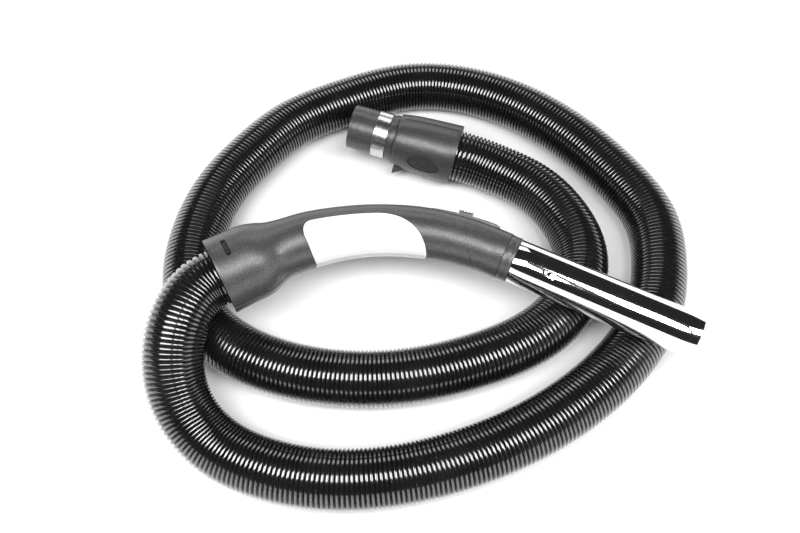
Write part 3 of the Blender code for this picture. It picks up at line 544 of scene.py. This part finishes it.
def one_rib(pitch):
    """One rib about the X axis, which stores how near to its crest each point is."""
    bm = bmesh.new()
    points = [bm.verts.new((along * pitch, 0, HOSE_R - depth * RIB_DEPTH)) for along, depth in RIB_SHAPE]
    edges = [bm.edges.new(pair) for pair in zip(points, points[1:])]
    bmesh.ops.spin(bm, geom=points + edges, cent=(0, 0, 0), axis=(1, 0, 0),
                   angle=2 * math.pi, steps=RIB_SIDES, use_merge=True)
    crest = bm.verts.layers.float.new("crest")
    for v in bm.verts:
        v[crest] = 1 - (HOSE_R - math.hypot(v.co.y, v.co.z)) / RIB_DEPTH
    return new_piece("ribbed_hose", bm)


def guide_curve(points):
    """The curve that the hose is laid along; Z_UP keeps the ribs from twisting."""
    line = bpy.data.curves.new("hose_line", "CURVE")
    line.dimensions = "3D"
    line.twist_mode = "Z_UP"
    spline = line.splines.new("POLY")
    spline.points.add(len(points) - 1)
    for slot, point in zip(spline.points, points):
        slot.co = (*point, 1.0)
    guide = bpy.data.objects.new("hose_line", line)
    bpy.context.scene.collection.objects.link(guide)
    return guide


def lay_ribs(rib, count, pitch):
    """Lines up the ribs and lays them along the hose's line."""
    row = rib.modifiers.new("ribs", "ARRAY")
    row.count = count
    row.use_relative_offset = False
    row.use_constant_offset = True
    row.constant_offset_displace = (pitch, 0, 0)
    row.use_merge_vertices = True
    row.merge_threshold = 0.00005
    lay = rib.modifiers.new("lay", "CURVE")
    lay.object = guide_curve(hose_line)
    return applied(rib, lay.object)


def close_ends(hose):
    """Fills both open rims and sinks a disc into each, so that an end shows the hose's wall."""
    bm = bmesh.new()
    bm.from_mesh(hose.data)
    rims = [e for e in bm.edges if e.is_boundary]
    for cap in bmesh.ops.holes_fill(bm, edges=rims, sides=RIB_SIDES)["faces"]:
        at_handle = (cap.calc_center_median() - hose_line[0]).length < HOSE_R
        end, inside = (hose_line[0], hose_line[1]) if at_handle else (hose_line[-1], hose_line[-2])
        bmesh.ops.inset_region(bm, faces=[cap], thickness=HOSE_WALL, use_even_offset=True)
        disc = bmesh.ops.extrude_discrete_faces(bm, faces=[cap])["faces"][0]
        sunk = (inside - end).normalized() * END_DEPTH
        bmesh.ops.translate(bm, verts=list(disc.verts), vec=sunk)
    bmesh.ops.recalc_face_normals(bm, faces=bm.faces[:])
    bm.to_mesh(hose.data)
    bm.free()
    hose.data.shade_smooth()
    hose.data.set_sharp_from_angle(angle=math.radians(42.0))


rib_count = round(hose_length / RIB_PITCH)
rib_pitch = hose_length / rib_count
hose = lay_ribs(one_rib(rib_pitch), rib_count, rib_pitch)
close_ends(hose)
settle(hose, "hose", hose_finish(), "hose")
print(f"{rib_count} ribs, {len(hose.data.polygons)} faces")

# %% [markdown]
# The moulded parts share one warm dark grey plastic with a fine bright fleck in it. The handle is
# satin and smooth; the connector has been handled and pushed home many times, so it is duller and
# finely scuffed. The fleck is a high noise with a narrow threshold, and a few dust specks lie on top.


# %% Plastic finishes
def flecked_plastic(name, value, roughness, scuffs, dust):
    f = Finish(name, Specular_IOR_Level=0.6, Metallic=0.5)
    fleck = f.noise(1300.0, 2.0, 0.6).above(0.50, 0.68)
    cloud = f.noise(24.0, 3.0)
    scratch = f.noise(60.0, 4.0, 0.7, at=f.stretched(1.0, 14.0, 3.0)).above(0.58, 0.66)
    dot = f.specks(300.0, 0.13, dust)
    shade = (cloud * 0.25 + fleck * 0.75).colour_to(grey(value * 0.75, 0.02), grey(value * 2.0, 0.02))
    scuffed = (scratch * scuffs * 0.5).colour_to(shade, grey(value * 3.0))
    f.set(Base_Color=(dot * 0.7).colour_to(scuffed, grey(0.45)),
          Roughness=cloud * 0.10 + (roughness - 0.05) + scratch * (scuffs * 0.2) - fleck * 0.08,
          Normal=f.bump(f.noise(1300.0, 2.0) + scratch * (scuffs * 0.5), 0.18, 0.0003))
    return f.material


def plain_plastic(name, value, roughness):
    f = Finish(name)
    cloud = f.noise(40.0, 3.0)
    f.set(Base_Color=cloud.colour_to(grey(value * 0.8), grey(value * 1.3)),
          Roughness=cloud * 0.12 + (roughness - 0.06),
          Normal=f.bump(f.noise(1200.0, 2.0), 0.10, 0.0002))
    return f.material


handle_grey = flecked_plastic("handle_grey", 0.080, 0.38, 0.15, 0.06)
connector_grey = flecked_plastic("connector_grey", 0.070, 0.36, 0.6, 0.05)
button_grey = flecked_plastic("button_grey", 0.036, 0.58, 0.25, 0.04)
collar_black = plain_plastic("collar_black", 0.012, 0.42)
seal_rubber = plain_plastic("seal_rubber", 0.018, 0.75)

# %% [markdown]
# The grip panel is a gloss white insert on each half. The lower one is the same insert, painted light grey as
# painted shade because it faces away from the lights. Gloss plastic is a clear coat over a soft base here,
# with faint waves from the mould in the coat and a few dust specks.


# %% Panel finishes
def panel_finish(name, value, roughness):
    f = Finish(name, Coat_Weight=0.6, Coat_Roughness=0.06)
    cloud = f.noise(30.0, 3.0)
    dot = f.specks(260.0, 0.12, 0.03)
    shade = cloud.colour_to(grey(value * 0.97, 0.005), grey(value))
    shade = (dot * 0.5).colour_to(shade, grey(0.25))
    f.set(Base_Color=shade,
          Roughness=cloud * 0.06 + roughness,
          Normal=f.bump(f.noise(55.0, 1.0), 0.05, 0.0006))
    return f.material


panel_white = panel_finish("panel_white", 0.82, 0.22)
# The lower panel is the same white insert. Its darker grey is painted shade for the side that faces down.
panel_grey = panel_finish("panel_grey", 0.50, 0.34)

# %% [markdown]
# Chrome shows what is around it, so its own pattern is slight: long faint drawing lines, finger
# smudges that dull it in patches, and dust. The steel band is brushed round its circumference.


# %% Metal finishes
CHROME = (0.80, 0.80, 0.81, 1.0)


def chrome_finish():
    f = Finish("tube_chrome", Metallic=1.0)
    smudge = f.noise(38.0, 5.0, 0.65).above(0.52, 0.72)
    drawn = f.noise(900.0, 2.0, 0.5, at=f.stretched(0.02, 1.0, 1.0))
    dot = f.specks(330.0, 0.12, 0.12)
    f.set(Base_Color=dot.colour_to(CHROME, grey(0.35)),
          Roughness=0.06 + smudge * 0.07 + drawn * 0.03 + dot * 0.4,
          Normal=f.bump(drawn * 0.3 + f.noise(60.0, 2.0), 0.008, 0.0004))
    return f.material


def steel_finish(name, value):
    f = Finish(name, Metallic=1.0)
    brushed = f.noise(500.0, 3.0, 0.6, at=f.stretched(1.0, 0.08, 0.08))
    f.set(Base_Color=brushed.colour_to(grey(value * 0.8, 0.01), grey(value, 0.01)),
          Roughness=brushed * 0.14 + 0.16,
          Normal=f.bump(brushed, 0.06, 0.0002))
    return f.material


tube_chrome = chrome_finish()
band_steel = steel_finish("band_steel", 0.72)
spring_steel = steel_finish("spring_steel", 0.6)

# %% [markdown]
# The handle is moulded in two halves that meet on a line along both sides. The grip panel wraps over
# each half, pointed like a half ellipse at the tube end and with rounded corners at the other.

# %% Shape of the grip panels
HANDLE_WALL = 3.4 * MM
PANEL_REACH = math.radians(100.0)
PANEL_THICK = 1.8 * MM
PANEL_ROOM = 0.55 * MM          # gap round a panel, which shows as its dark outline
PANEL_ROWS = 36


def on_half(side):
    """Places on one half, which stands off the other by a thin seam."""
    lift = HANDLE_TILT.to_3x3() @ Vector((0, 0, side * SEAM))
    return lambda s, turn, r: on_handle(s, turn, r) + lift


def panel_columns(margin):
    """Distances across a panel at an angle, from its elliptical end to its cornered one."""
    def columns(turn):
        share = min(1.0, max(0.0, abs(turn)) / (PANEL_REACH + margin / (20 * MM)))
        tip = 112 * MM - 42 * MM * math.sqrt(1 - share**2) - margin
        corner = 1 - math.sqrt(1 - min(1.0, max(0.0, share - 0.7) / 0.3) ** 2)
        end = 167 * MM + 5 * MM * share - 9 * MM * corner + margin
        return [float(v) for v in np.linspace(tip, end, 49)]

    return columns


def panel_plate(name, side, sunk, thick, margin, start):
    reach = PANEL_REACH + margin / (20 * MM)
    quarter = math.pi / 2 / PANEL_ROWS
    rows = [start] + [reach * math.sin(k * quarter) for k in range(1, PANEL_ROWS + 1)]
    return plate(name, [side * v for v in rows], panel_columns(margin),
                 lambda s: handle_outer(s) - sunk - thick, lambda s: handle_outer(s) - sunk, on_half(side))


# %% [markdown]
# Each half is a thin curved plate. The recess for its panel, the snap window near the mouth, the slot of
# the air slider and the hairline of the latch cover are cut afterwards, and a small bevel rounds every
# edge.

# %% Handle halves
SHELL_STEP = 2.6 * MM
SLEEVE_SPACE = 16.3 * MM
SLOT_MIDDLE = 47.0 * MM
SLOT_SIZE = (18.0 * MM, 6.0 * MM)
SLOT_DEEP = (10.0 * MM, 30.0 * MM)
SLOT_CORNER = 2.7 * MM
WINDOW_TURN = math.radians(98.0)
WINDOW_FROM_MOUTH = 12.9 * MM
HAIRLINE = 0.44 * MM


def handle_inner(s):
    if s <= SLEEVE_SEAT:
        return SLEEVE_SPACE
    return SOCKET_R if s >= SOCKET_START else handle_outer(s) - HANDLE_WALL


def hairline(name, side):
    """A thin curved cutter for the line where the latch cover meets the shell."""
    def columns(turn):
        share = min(1.0, abs(turn) / math.radians(100))
        middle = 24 * MM + 20 * MM * share**0.6
        return [middle - HAIRLINE / 2, middle + HAIRLINE / 2]

    rows = [side * math.radians(v) for v in range(8, 101, 4)]
    return plate(name, rows, columns, lambda s: handle_outer(s) - 0.6 * MM,
                 lambda s: handle_outer(s) + 1 * MM, on_half(side))


def slider_slot(name):
    return bar(name, *SLOT_SIZE, *SLOT_DEEP, SLOT_CORNER, on_handle, SLOT_MIDDLE, math.pi)


def handle_half(name, side):
    columns = [SHELL_START, SLEEVE_SEAT, *steps(SLEEVE_SEAT + GAP, SOCKET_START - GAP, SHELL_STEP),
               *steps(SOCKET_START, HANDLE_END, SHELL_STEP)]
    rows = [side * math.radians(v) for v in np.linspace(0, 180, 61)]
    half = plate(name, rows, lambda turn: columns, handle_inner, handle_outer, on_half(side))
    turn = WINDOW_TURN if side > 0 else WINDOW_TURN + math.pi
    recess = panel_plate("recess", side, -2 * MM, 2 * MM + PANEL_THICK + GAP, PANEL_ROOM, -0.12)
    window = bar("window", 4.0 * MM, 15.6 * MM, SOCKET_R - 3 * MM, MOUTH_R + 3 * MM, 1.8 * MM,
                 on_handle, HANDLE_END - WINDOW_FROM_MOUTH, turn)
    cut(half, recess, window, slider_slot("slot"), hairline("hairline", side))
    rounded(half, 0.22 * MM)
    return settle(half, "handle", handle_grey, name)


handle_half("handle_shell_upper", 1)
handle_half("handle_shell_lower", -1)

# %% [markdown]
# The panels lie in their recesses: gloss white above, and below the same white insert painted light grey as
# painted shade.

# %% Grip panels
for name, side, finish in (("grip_panel_upper", 1, panel_white), ("grip_panel_lower", -1, panel_grey)):
    panel = rounded(panel_plate(name + "_piece", side, 0.0, PANEL_THICK, 0.0, 0.0), 0.3 * MM)
    settle(panel, "handle", finish, name)

# %% [markdown]
# The lower half laps over the upper one in a fine raised line, which stops on both sides of the panels.

# %% Seam lines
SEAM_TURNS = [math.radians(v) for v in (-2.4, -1.6, -0.8, 0.0)]
SEAM_SPANS = (
    ("seam_line_tube", SHELL_START + 3 * MM, 69.2 * MM),
    ("seam_line_mouth", 173.4 * MM, HANDLE_END),
)
for name, start, end in SEAM_SPANS:
    bead = plate(name, SEAM_TURNS, lambda turn: steps(start, end, 2.5 * MM),
                 lambda s: handle_outer(s) - 0.3 * MM, lambda s: handle_outer(s) + 0.35 * MM, on_half(-1))
    settle(rounded(bead, 0.15 * MM), "handle", handle_grey)

# %% [markdown]
# The air slider bleeds air from the handle to weaken the suction. A low rail is fixed on the outside of
# the bend, with a slot that shows the shutter inside.


# %% Rail of the air slider
def around(half_turn, step=2.0):
    return steps(math.pi - math.radians(half_turn), math.pi + math.radians(half_turn), math.radians(step))


RAIL_START = 20.0 * MM
RAIL_END = 72.0 * MM
RAIL_FOOT = RAIL_START - 3.0 * MM
RAIL_TOP = handle_outer(RAIL_END) + GAP + 0.5 * MM


def rail_top(s):
    """The rail rises from its foot on a gentle slope until it is level."""
    return min(RAIL_TOP, handle_outer(s) + GAP + (s - RAIL_FOOT) / 3)


rail = plate("slider_rail_piece", around(22), lambda turn: steps(RAIL_START, RAIL_END, 1.5 * MM),
             lambda s: handle_outer(s) + GAP, rail_top, on_handle)
cut(rail, slider_slot("rail_slot"))
settle(rounded(rail, 0.25 * MM), "handle", handle_grey, "slider_rail")

# %% [markdown]
# A knob runs along the rail. It has grip ridges on a saddle-shaped top, and a stem through the slot.

# %% Knob of the air slider
KNOB_HALF = 5.0 * MM
KNOB_RISE = 2.9 * MM
RIDGE_RISE = 0.75 * MM
SADDLE = 0.5 * MM


def knob_top(s):
    along = (s - SLOT_MIDDLE) / KNOB_HALF
    ridge = 0.5 + 0.5 * math.cos(along * math.pi * 4)
    return RAIL_TOP + KNOB_RISE + RIDGE_RISE * ridge - SADDLE * (1 - along**2)


knob = plate("slider_knob_piece", around(17),
             lambda turn: steps(SLOT_MIDDLE - KNOB_HALF, SLOT_MIDDLE + KNOB_HALF, 0.25 * MM),
             lambda s: RAIL_TOP + GAP, knob_top, on_handle)
stem = bar("knob_stem", 5.0 * MM, 5.4 * MM, 15.4 * MM, RAIL_TOP + 1 * MM, 2.4 * MM,
           on_handle, SLOT_MIDDLE, math.pi)
cut(knob, stem, operation="UNION")
settle(rounded(knob, 0.3 * MM, angle=50.0), "air_slider", handle_grey, "slider_knob")

# %% [markdown]
# The tube is drawn steel, so it is a turned ring with a hole for the latch pin.

# %% Chrome tube
TUBE_FRAME = HANDLE_TILT @ Matrix.Translation((0, 0, -TUBE_MID_R))
TUBE_BORE_R = TUBE_R - TUBE_WALL
TUBE_STEP = 12.0 * MM
PIN_AT = -31.4 * MM
PIN_TURN = math.radians(60.5)
TUBE_HOLE_R = 2.3 * MM

tube_inside = [(x, TUBE_BORE_R) for x in steps(-TUBE_LENGTH, 0, TUBE_STEP)]
tube_outside = [(x, TUBE_R) for x in steps(0, -TUBE_LENGTH, TUBE_STEP)]
tube = turned("chrome_tube_piece", tube_inside + tube_outside, TUBE_FRAME, 128)
cut(tube, peg("tube_hole", TUBE_HOLE_R, TUBE_HOLE_R, TUBE_BORE_R - 2 * MM, TUBE_R + 2 * MM,
              on_handle, PIN_AT, PIN_TURN, 32))
settle(rounded(tube, 0.3 * MM), "handle", tube_chrome, "chrome_tube")

# %% [markdown]
# The sleeve runs inside the tube and the handle. It shows only as a collar between them, with a fine
# groove round it.

# %% Sleeve that carries the tube
SLEEVE_BORE_R = 14.0 * MM
SLEEVE_TAIL_R = 16.0 * MM
SLEEVE_TAIL = 11.0 * MM
SLEEVE_HOLE_R = 1.7 * MM
COLLAR_R = TUBE_R + 0.6 * MM
GROOVE_R = COLLAR_R - 0.35 * MM

sleeve_start = -TUBE_LENGTH + 45 * MM
sleeve_r = TUBE_BORE_R - GAP
collar = -TUBE_LENGTH - GAP
collar_end = -TUBE_LENGTH - 8.5 * MM
groove = collar - 2.6 * MM
groove_end = collar - 3.3 * MM
sleeve_end = collar_end - SLEEVE_TAIL
sleeve = turned("tube_spigot_piece", [
    (sleeve_start, SLEEVE_BORE_R), (sleeve_start, sleeve_r), (collar, sleeve_r), (collar, COLLAR_R),
    (groove, COLLAR_R), (groove, GROOVE_R), (groove_end, GROOVE_R), (groove_end, COLLAR_R),
    (collar_end, COLLAR_R), (collar_end, SLEEVE_TAIL_R), (sleeve_end, SLEEVE_TAIL_R),
    (sleeve_end, SLEEVE_BORE_R),
], TUBE_FRAME)
cut(sleeve, peg("sleeve_hole", SLEEVE_HOLE_R, SLEEVE_HOLE_R, 5 * MM, TUBE_BORE_R + 2 * MM,
                on_handle, PIN_AT, PIN_TURN, 24))
settle(rounded(sleeve, 0.2 * MM), "handle", handle_grey, "tube_spigot")

# %% [markdown]
# The spigot pushes into the machine. It is one turned piece, with a light shoulder near its end, a
# raised ring in front of the cuff, and a flange that the cuff turns behind.

# %% Spigot
SPIGOT_TIP = 8.0 * MM
SPIGOT_TIP_R = SPIGOT_R - 0.2 * MM
SPIGOT_END_AT = 88.0 * MM
SPIGOT_REAR_R = SPIGOT_R - 2.0 * MM
SPIGOT_REAR_BORE_R = SPIGOT_BORE_R - 1.0 * MM
RIDGE = 38.5 * MM
RIDGE_END = 42.5 * MM
RIDGE_R = SPIGOT_R + 0.6 * MM
FLANGE = CUFF_START + 3.3 * MM
FLANGE_END = FLANGE + 2.7 * MM
FLANGE_R = cuff_outer(FLANGE) - 2.0 * MM
BORE_STEP = FLANGE + 1.0 * MM

spigot = turned("machine_spigot_piece", [
    (0, SPIGOT_BORE_R), (0, SPIGOT_TIP_R), (SPIGOT_TIP, SPIGOT_TIP_R), (SPIGOT_TIP + 0.2 * MM, SPIGOT_R),
    (RIDGE, SPIGOT_R), (RIDGE, RIDGE_R), (RIDGE_END, RIDGE_R), (RIDGE_END, SPIGOT_R),
    (FLANGE, SPIGOT_R), (FLANGE, FLANGE_R), (FLANGE_END, FLANGE_R), (FLANGE_END, SPIGOT_REAR_R),
    (SPIGOT_END_AT, SPIGOT_REAR_R), (SPIGOT_END_AT, SPIGOT_REAR_BORE_R),
    (BORE_STEP, SPIGOT_REAR_BORE_R), (BORE_STEP, SPIGOT_BORE_R),
], CONNECTOR_FRAME, 128)
settle(rounded(spigot, 0.25 * MM, angle=20.0), "machine_connector", connector_grey, "machine_spigot")

# %% [markdown]
# A bright spring band is wrapped round the spigot. It is split on one side, and its two edges stand a
# little proud of its middle.

# %% Contact band
BAND_TURN = math.radians(29.7)
BAND_SPLIT = 1.1 * MM / SPIGOT_R
BAND_EDGES = (23.3 * MM, 24.1 * MM, 34.5 * MM, 35.3 * MM)
BAND_R = SPIGOT_R + 0.9 * MM
BAND_HOLLOW = 0.12 * MM


def band_outer(a):
    return BAND_R - (BAND_HOLLOW if a in BAND_EDGES[1:3] else 0.0)


band_turns = steps(BAND_TURN + BAND_SPLIT, BAND_TURN + 2 * math.pi - BAND_SPLIT, math.radians(3))
band = plate("contact_band_piece", band_turns, lambda turn: BAND_EDGES, lambda a: SPIGOT_R + GAP,
             band_outer, on_connector)
settle(rounded(band, 0.12 * MM, angle=50.0), "machine_connector", band_steel, "contact_band")

# %% [markdown]
# The cuff turns round the spigot and the hose end. Each of its two halves is a curved plate with an oval
# opening for a latch button, and a groove inside its rear end holds the hose's collar.

# %% Shape of the cuff halves
CUFF_SPLIT = math.radians(-75.0)
BUTTON_AT = 73.0 * MM
BUTTON_TURN = math.radians(15.0)
CUFF_WALL = 1.7 * MM
CUFF_LIP = 3.0 * MM
COLLAR_GROOVE = CUFF_REAR - 9.4 * MM
COLLAR_GROOVE_END = COLLAR_GROOVE + 2.6 * MM
COLLAR_SPACE = HOSE_R + 1.8 * MM
FACET = math.radians(3.0)
NUDGE = 0.1 * MM


def cuff_inner(a):
    if a <= CUFF_START + CUFF_LIP:
        return SPIGOT_R + 0.4 * MM
    if a < COLLAR_GROOVE:
        return cuff_outer(a) - CUFF_WALL
    return COLLAR_SPACE + (0.9 * MM if a <= COLLAR_GROOVE_END else 0.0)


def cuff_half(name, start):
    """Half of the cuff from an angle round, moved off the other half by a thin seam."""
    middle = start + math.pi / 2
    lift = CONNECTOR_FRAME.to_3x3() @ Vector((0, math.cos(middle), math.sin(middle))) * SEAM
    columns = [CUFF_START, CUFF_START + CUFF_LIP,
               *steps(CUFF_START + CUFF_LIP + NUDGE, COLLAR_GROOVE - NUDGE, 2 * MM),
               COLLAR_GROOVE, COLLAR_GROOVE_END, COLLAR_GROOVE_END + NUDGE, CUFF_REAR]
    half = plate(name + "_piece", steps(start, start + math.pi, FACET), lambda turn: columns,
                 cuff_inner, cuff_outer, lambda a, turn, r: on_connector(a, turn, r) + lift)
    return cut(half, peg("opening", 14.8 * MM, 8.3 * MM, 10 * MM, 40 * MM, on_connector, BUTTON_AT, middle))


# %% [markdown]
# The near half carries a wedge that finds its notch in the machine's socket. It starts as an upright bar,
# whose rear top edge is pulled down to the cuff.

# %% Near half with its wedge
LUG_TURN = math.radians(-40.0)
LUG_TOP_R = 31.5 * MM
LUG_REAR = 57.0 * MM

near_half = cuff_half("cuff_shell_near", CUFF_SPLIT)
lug = bar("lug", 11 * MM, 3 * MM, cuff_outer(46 * MM) - MM, LUG_TOP_R, 0.3 * MM,
          on_connector, LUG_REAR - 5.5 * MM, LUG_TURN)
rear = on_connector(LUG_REAR, LUG_TURN, LUG_TOP_R)
root = on_connector(LUG_REAR, LUG_TURN, cuff_outer(LUG_REAR) + 0.4 * MM)
for v in lug.data.vertices:
    if (v.co - rear).length < 3 * MM:
        v.co += root - rear
cut(near_half, lug, operation="UNION")
settle(rounded(near_half, 0.25 * MM), "machine_connector", connector_grey, "cuff_shell_near")

# %% [markdown]
# The far half carries a raised strip beside the upper joint.

# %% Far half with its strip
far_half = cuff_half("cuff_shell_far", CUFF_SPLIT + math.pi)
strip_start = CUFF_SPLIT + math.pi + math.radians(1.0)
strip = plate("strip", steps(strip_start, strip_start + math.radians(8), math.radians(2)),
              lambda turn: steps(47 * MM, 97 * MM, 5 * MM), lambda a: cuff_outer(a) - 0.5 * MM,
              lambda a: cuff_outer(a) + 0.45 * MM, on_connector)
cut(far_half, strip, operation="UNION")
settle(rounded(far_half, 0.25 * MM), "machine_connector", connector_grey, "cuff_shell_far")

# %% [markdown]
# Each latch button is an oval pad that follows the cuff, with a wider lip below that keeps it in, a stem
# for its spring, and a shallow dimple for the thumb.


# %% Latch buttons
LIP_WIDTH = 1.2 * MM
DIMPLE_R = 4.75 * MM


def latch_button(name, turn):
    def patch(label, near, far, grown):
        """A patch of the cuff's own surface, between two depths below it."""
        half_turn = (11 * MM + grown) / (22 * MM)
        half = 16.5 * MM + grown
        return plate(label, steps(turn - half_turn, turn + half_turn, math.radians(2.5)),
                     lambda angle: steps(BUTTON_AT - half, BUTTON_AT + half, 1.7 * MM),
                     lambda a: cuff_outer(a) - far, lambda a: cuff_outer(a) - near, on_connector)

    def oval(label, grown):
        """The upright oval that cuts a patch to its outline."""
        return peg(label, 14.5 * MM + grown, 8 * MM + grown, 10 * MM, 40 * MM,
                   on_connector, BUTTON_AT, turn, 80)

    pad = cut(patch(name + "_piece", 0.5 * MM, 2.4 * MM, 0.0), oval("outline", 0.0), operation="INTERSECT")
    lip = cut(patch("lip", 2.0 * MM, 3.2 * MM, LIP_WIDTH), oval("lip_outline", LIP_WIDTH),
              operation="INTERSECT")
    stem = peg("stem", 2.6 * MM, 2.6 * MM, 20.3 * MM, 23.1 * MM, on_connector, BUTTON_AT, turn, 24)
    cut(pad, lip, stem, operation="UNION")
    floor = cuff_outer(BUTTON_AT) - 1.1 * MM
    cut(pad, peg("dimple", DIMPLE_R, DIMPLE_R, floor, floor + 6 * MM, on_connector, BUTTON_AT, turn))
    return rounded(pad, 0.25 * MM)


BUTTON_TURNS = {"near": BUTTON_TURN, "far": BUTTON_TURN + math.pi}
for side, turn in BUTTON_TURNS.items():
    name = "release_button_" + side
    settle(latch_button(name, turn), name, button_grey, name)

# %% [markdown]
# A coil spring under each button pushes it back out. It stands on the spigot and keeps its CAD shape.

# %% Button springs
SPRING_FOOT_R = 18.3 * MM

for side, turn in BUTTON_TURNS.items():
    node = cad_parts["button_spring_" + side]
    coil = node.data.copy()
    coil.transform(node.matrix_world)
    spring = bpy.data.objects.new(node.name + "_piece", coil)
    bpy.context.scene.collection.objects.link(spring)
    settle(spring, "machine_connector", spring_steel, node.name)
    foot = on_connector(BUTTON_AT, turn, SPRING_FOOT_R)
    outwards = (on_connector(BUTTON_AT, turn, 1.0) - on_connector(BUTTON_AT, turn, 0.0)).normalized()
    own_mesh(spring)

# %% [markdown]
# The pieces that hardly show keep their CAD shape: collars, seals, ring and pin. Each takes a finish
# from the set above.

# %% Finishes of the CAD pieces
CAD_FINISHES = (
    (collar_black, ("hose_collar_handle", "hose_collar_machine", "swivel_ring")),
    (seal_rubber, ("socket_seal", "duct_seal", "slider_shutter")),
    (spring_steel, ("tube_lock_pin",)),
)
for finish, names in CAD_FINISHES:
    for name in names:
        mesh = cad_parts[name].data
        mesh.materials.clear()
        mesh.materials.append(finish)
print("CAD pieces shown:", sum(not o.hide_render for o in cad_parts.values()))

# %% [markdown]
# The hose leaves the handle and ends in the machine connector. The pieces of that connector lie on its far
# end, and a collar sits on each end.

# %% [markdown]
# The surroundings are not part of the object, so they are staged. The floor is a matt white sheet that
# glows a little more away from the object, until it is plain white.


# %% Floor
def staged(name, bm, height, finish):
    """Puts one piece of the surroundings in the scene, and frees its bmesh."""
    mesh = bpy.data.meshes.new(name)
    bm.to_mesh(mesh)
    bm.free()
    mesh.materials.append(finish.material)
    piece = bpy.data.objects.new(name, mesh)
    piece.location.z = height
    bpy.context.scene.collection.objects.link(piece)
    print(f"{name}: staged")


floor_white = Finish("floor_white", Base_Color=grey(0.90), Roughness=0.7, Specular_IOR_Level=0.1,
                     Emission_Strength=1.0)
from_middle = floor_white.place.make("ShaderNodeVectorMath", out="Value",
                                     settings={"operation": "DISTANCE"},
                                     n0=floor_white.place, n1=(-0.20, 0.0, 0.0))
floor_white.set(Emission_Color=from_middle.make(
    "ShaderNodeMapRange", settings={"interpolation_type": "SMOOTHSTEP"},
    Value=from_middle, From_Min=0.20, From_Max=0.60, To_Min=0.02, To_Max=1.0))
floor_sheet = bmesh.new()
bmesh.ops.create_grid(floor_sheet, x_segments=1, y_segments=1, size=4.0)
staged("floor", floor_sheet, FLOOR_Z, floor_white)

# %% [markdown]
# A low white backdrop stands all round at the edge of the floor, so that a low view has no dark horizon.

# %% Backdrop
BACKDROP_R = 3.9
BACKDROP_HIGH = 1.3

backdrop_white = Finish("backdrop_white", Base_Color=grey(0.8), Roughness=0.8,
                        Emission_Color=grey(1.0), Emission_Strength=0.85)
wall = bmesh.new()
bmesh.ops.create_cone(wall, cap_ends=False, segments=96, radius1=BACKDROP_R, radius2=BACKDROP_R,
                      depth=BACKDROP_HIGH)
staged("backdrop", wall, FLOOR_Z + BACKDROP_HIGH / 2, backdrop_white)

# %% [markdown]
# A row of soft panels hangs behind the camera with gaps in it, so every glossy ridge shows bright lines
# side by side. One more stands on the far side to throw the soft shadows forward, and a weak one glows on
# the right.


# %% Soft lights
def soft_light(name, power, size, place, aim):
    data = bpy.data.lights.new(name, "AREA")
    data.energy = power
    data.shape = "RECTANGLE"
    data.size, data.size_y = size
    light = bpy.data.objects.new(name, data)
    bpy.context.scene.collection.objects.link(light)
    light.location = place
    light.rotation_euler = (Vector(aim) - Vector(place)).to_track_quat("-Z", "Y").to_euler()
    print(f"{name}: {power:.2f} W")


PANEL_POWER = 34.0      # watts for each square metre
PANEL_HIGH = 0.36
PANEL_OFF = Vector((0, 0.13, 0.90))     # from the centre, as the camera faces
PANELS = (("panel_left", -0.38, 0.66), ("panel_right", 0.19, 0.26), ("panel_far_right", 0.62, 0.44))

centre = Vector((-0.22, -0.02, -0.05))
facing = camera.rotation_euler.to_matrix()
for name, across, width in PANELS:
    place = centre + facing @ Vector((across, PANEL_OFF.y, PANEL_OFF.z))
    soft_light(name, PANEL_POWER * width * PANEL_HIGH, (width, PANEL_HIGH), place, place - facing @ PANEL_OFF)
soft_light("far_panel", 2.5, (0.9, 0.35), centre + Vector((-0.45, 0.75, 0.75)), centre)
soft_light("right_glow", 0.7, (0.5, 0.9), centre + Vector((1.1, -0.1, 0.5)), centre)

# %% [markdown]
# Above the backdrop the surround stays dark, which gives the chrome and the black hose their contrast.

# %% Surround
world = bpy.data.worlds.new("surround")
world.use_nodes = True
world.node_tree.nodes["Background"].inputs["Color"].default_value = (0.9, 0.95, 1.0, 1.0)
world.node_tree.nodes["Background"].inputs["Strength"].default_value = 0.025
bpy.context.scene.world = world
bpy.context.scene.view_settings.view_transform = "Standard"
print("surround:", world.name)
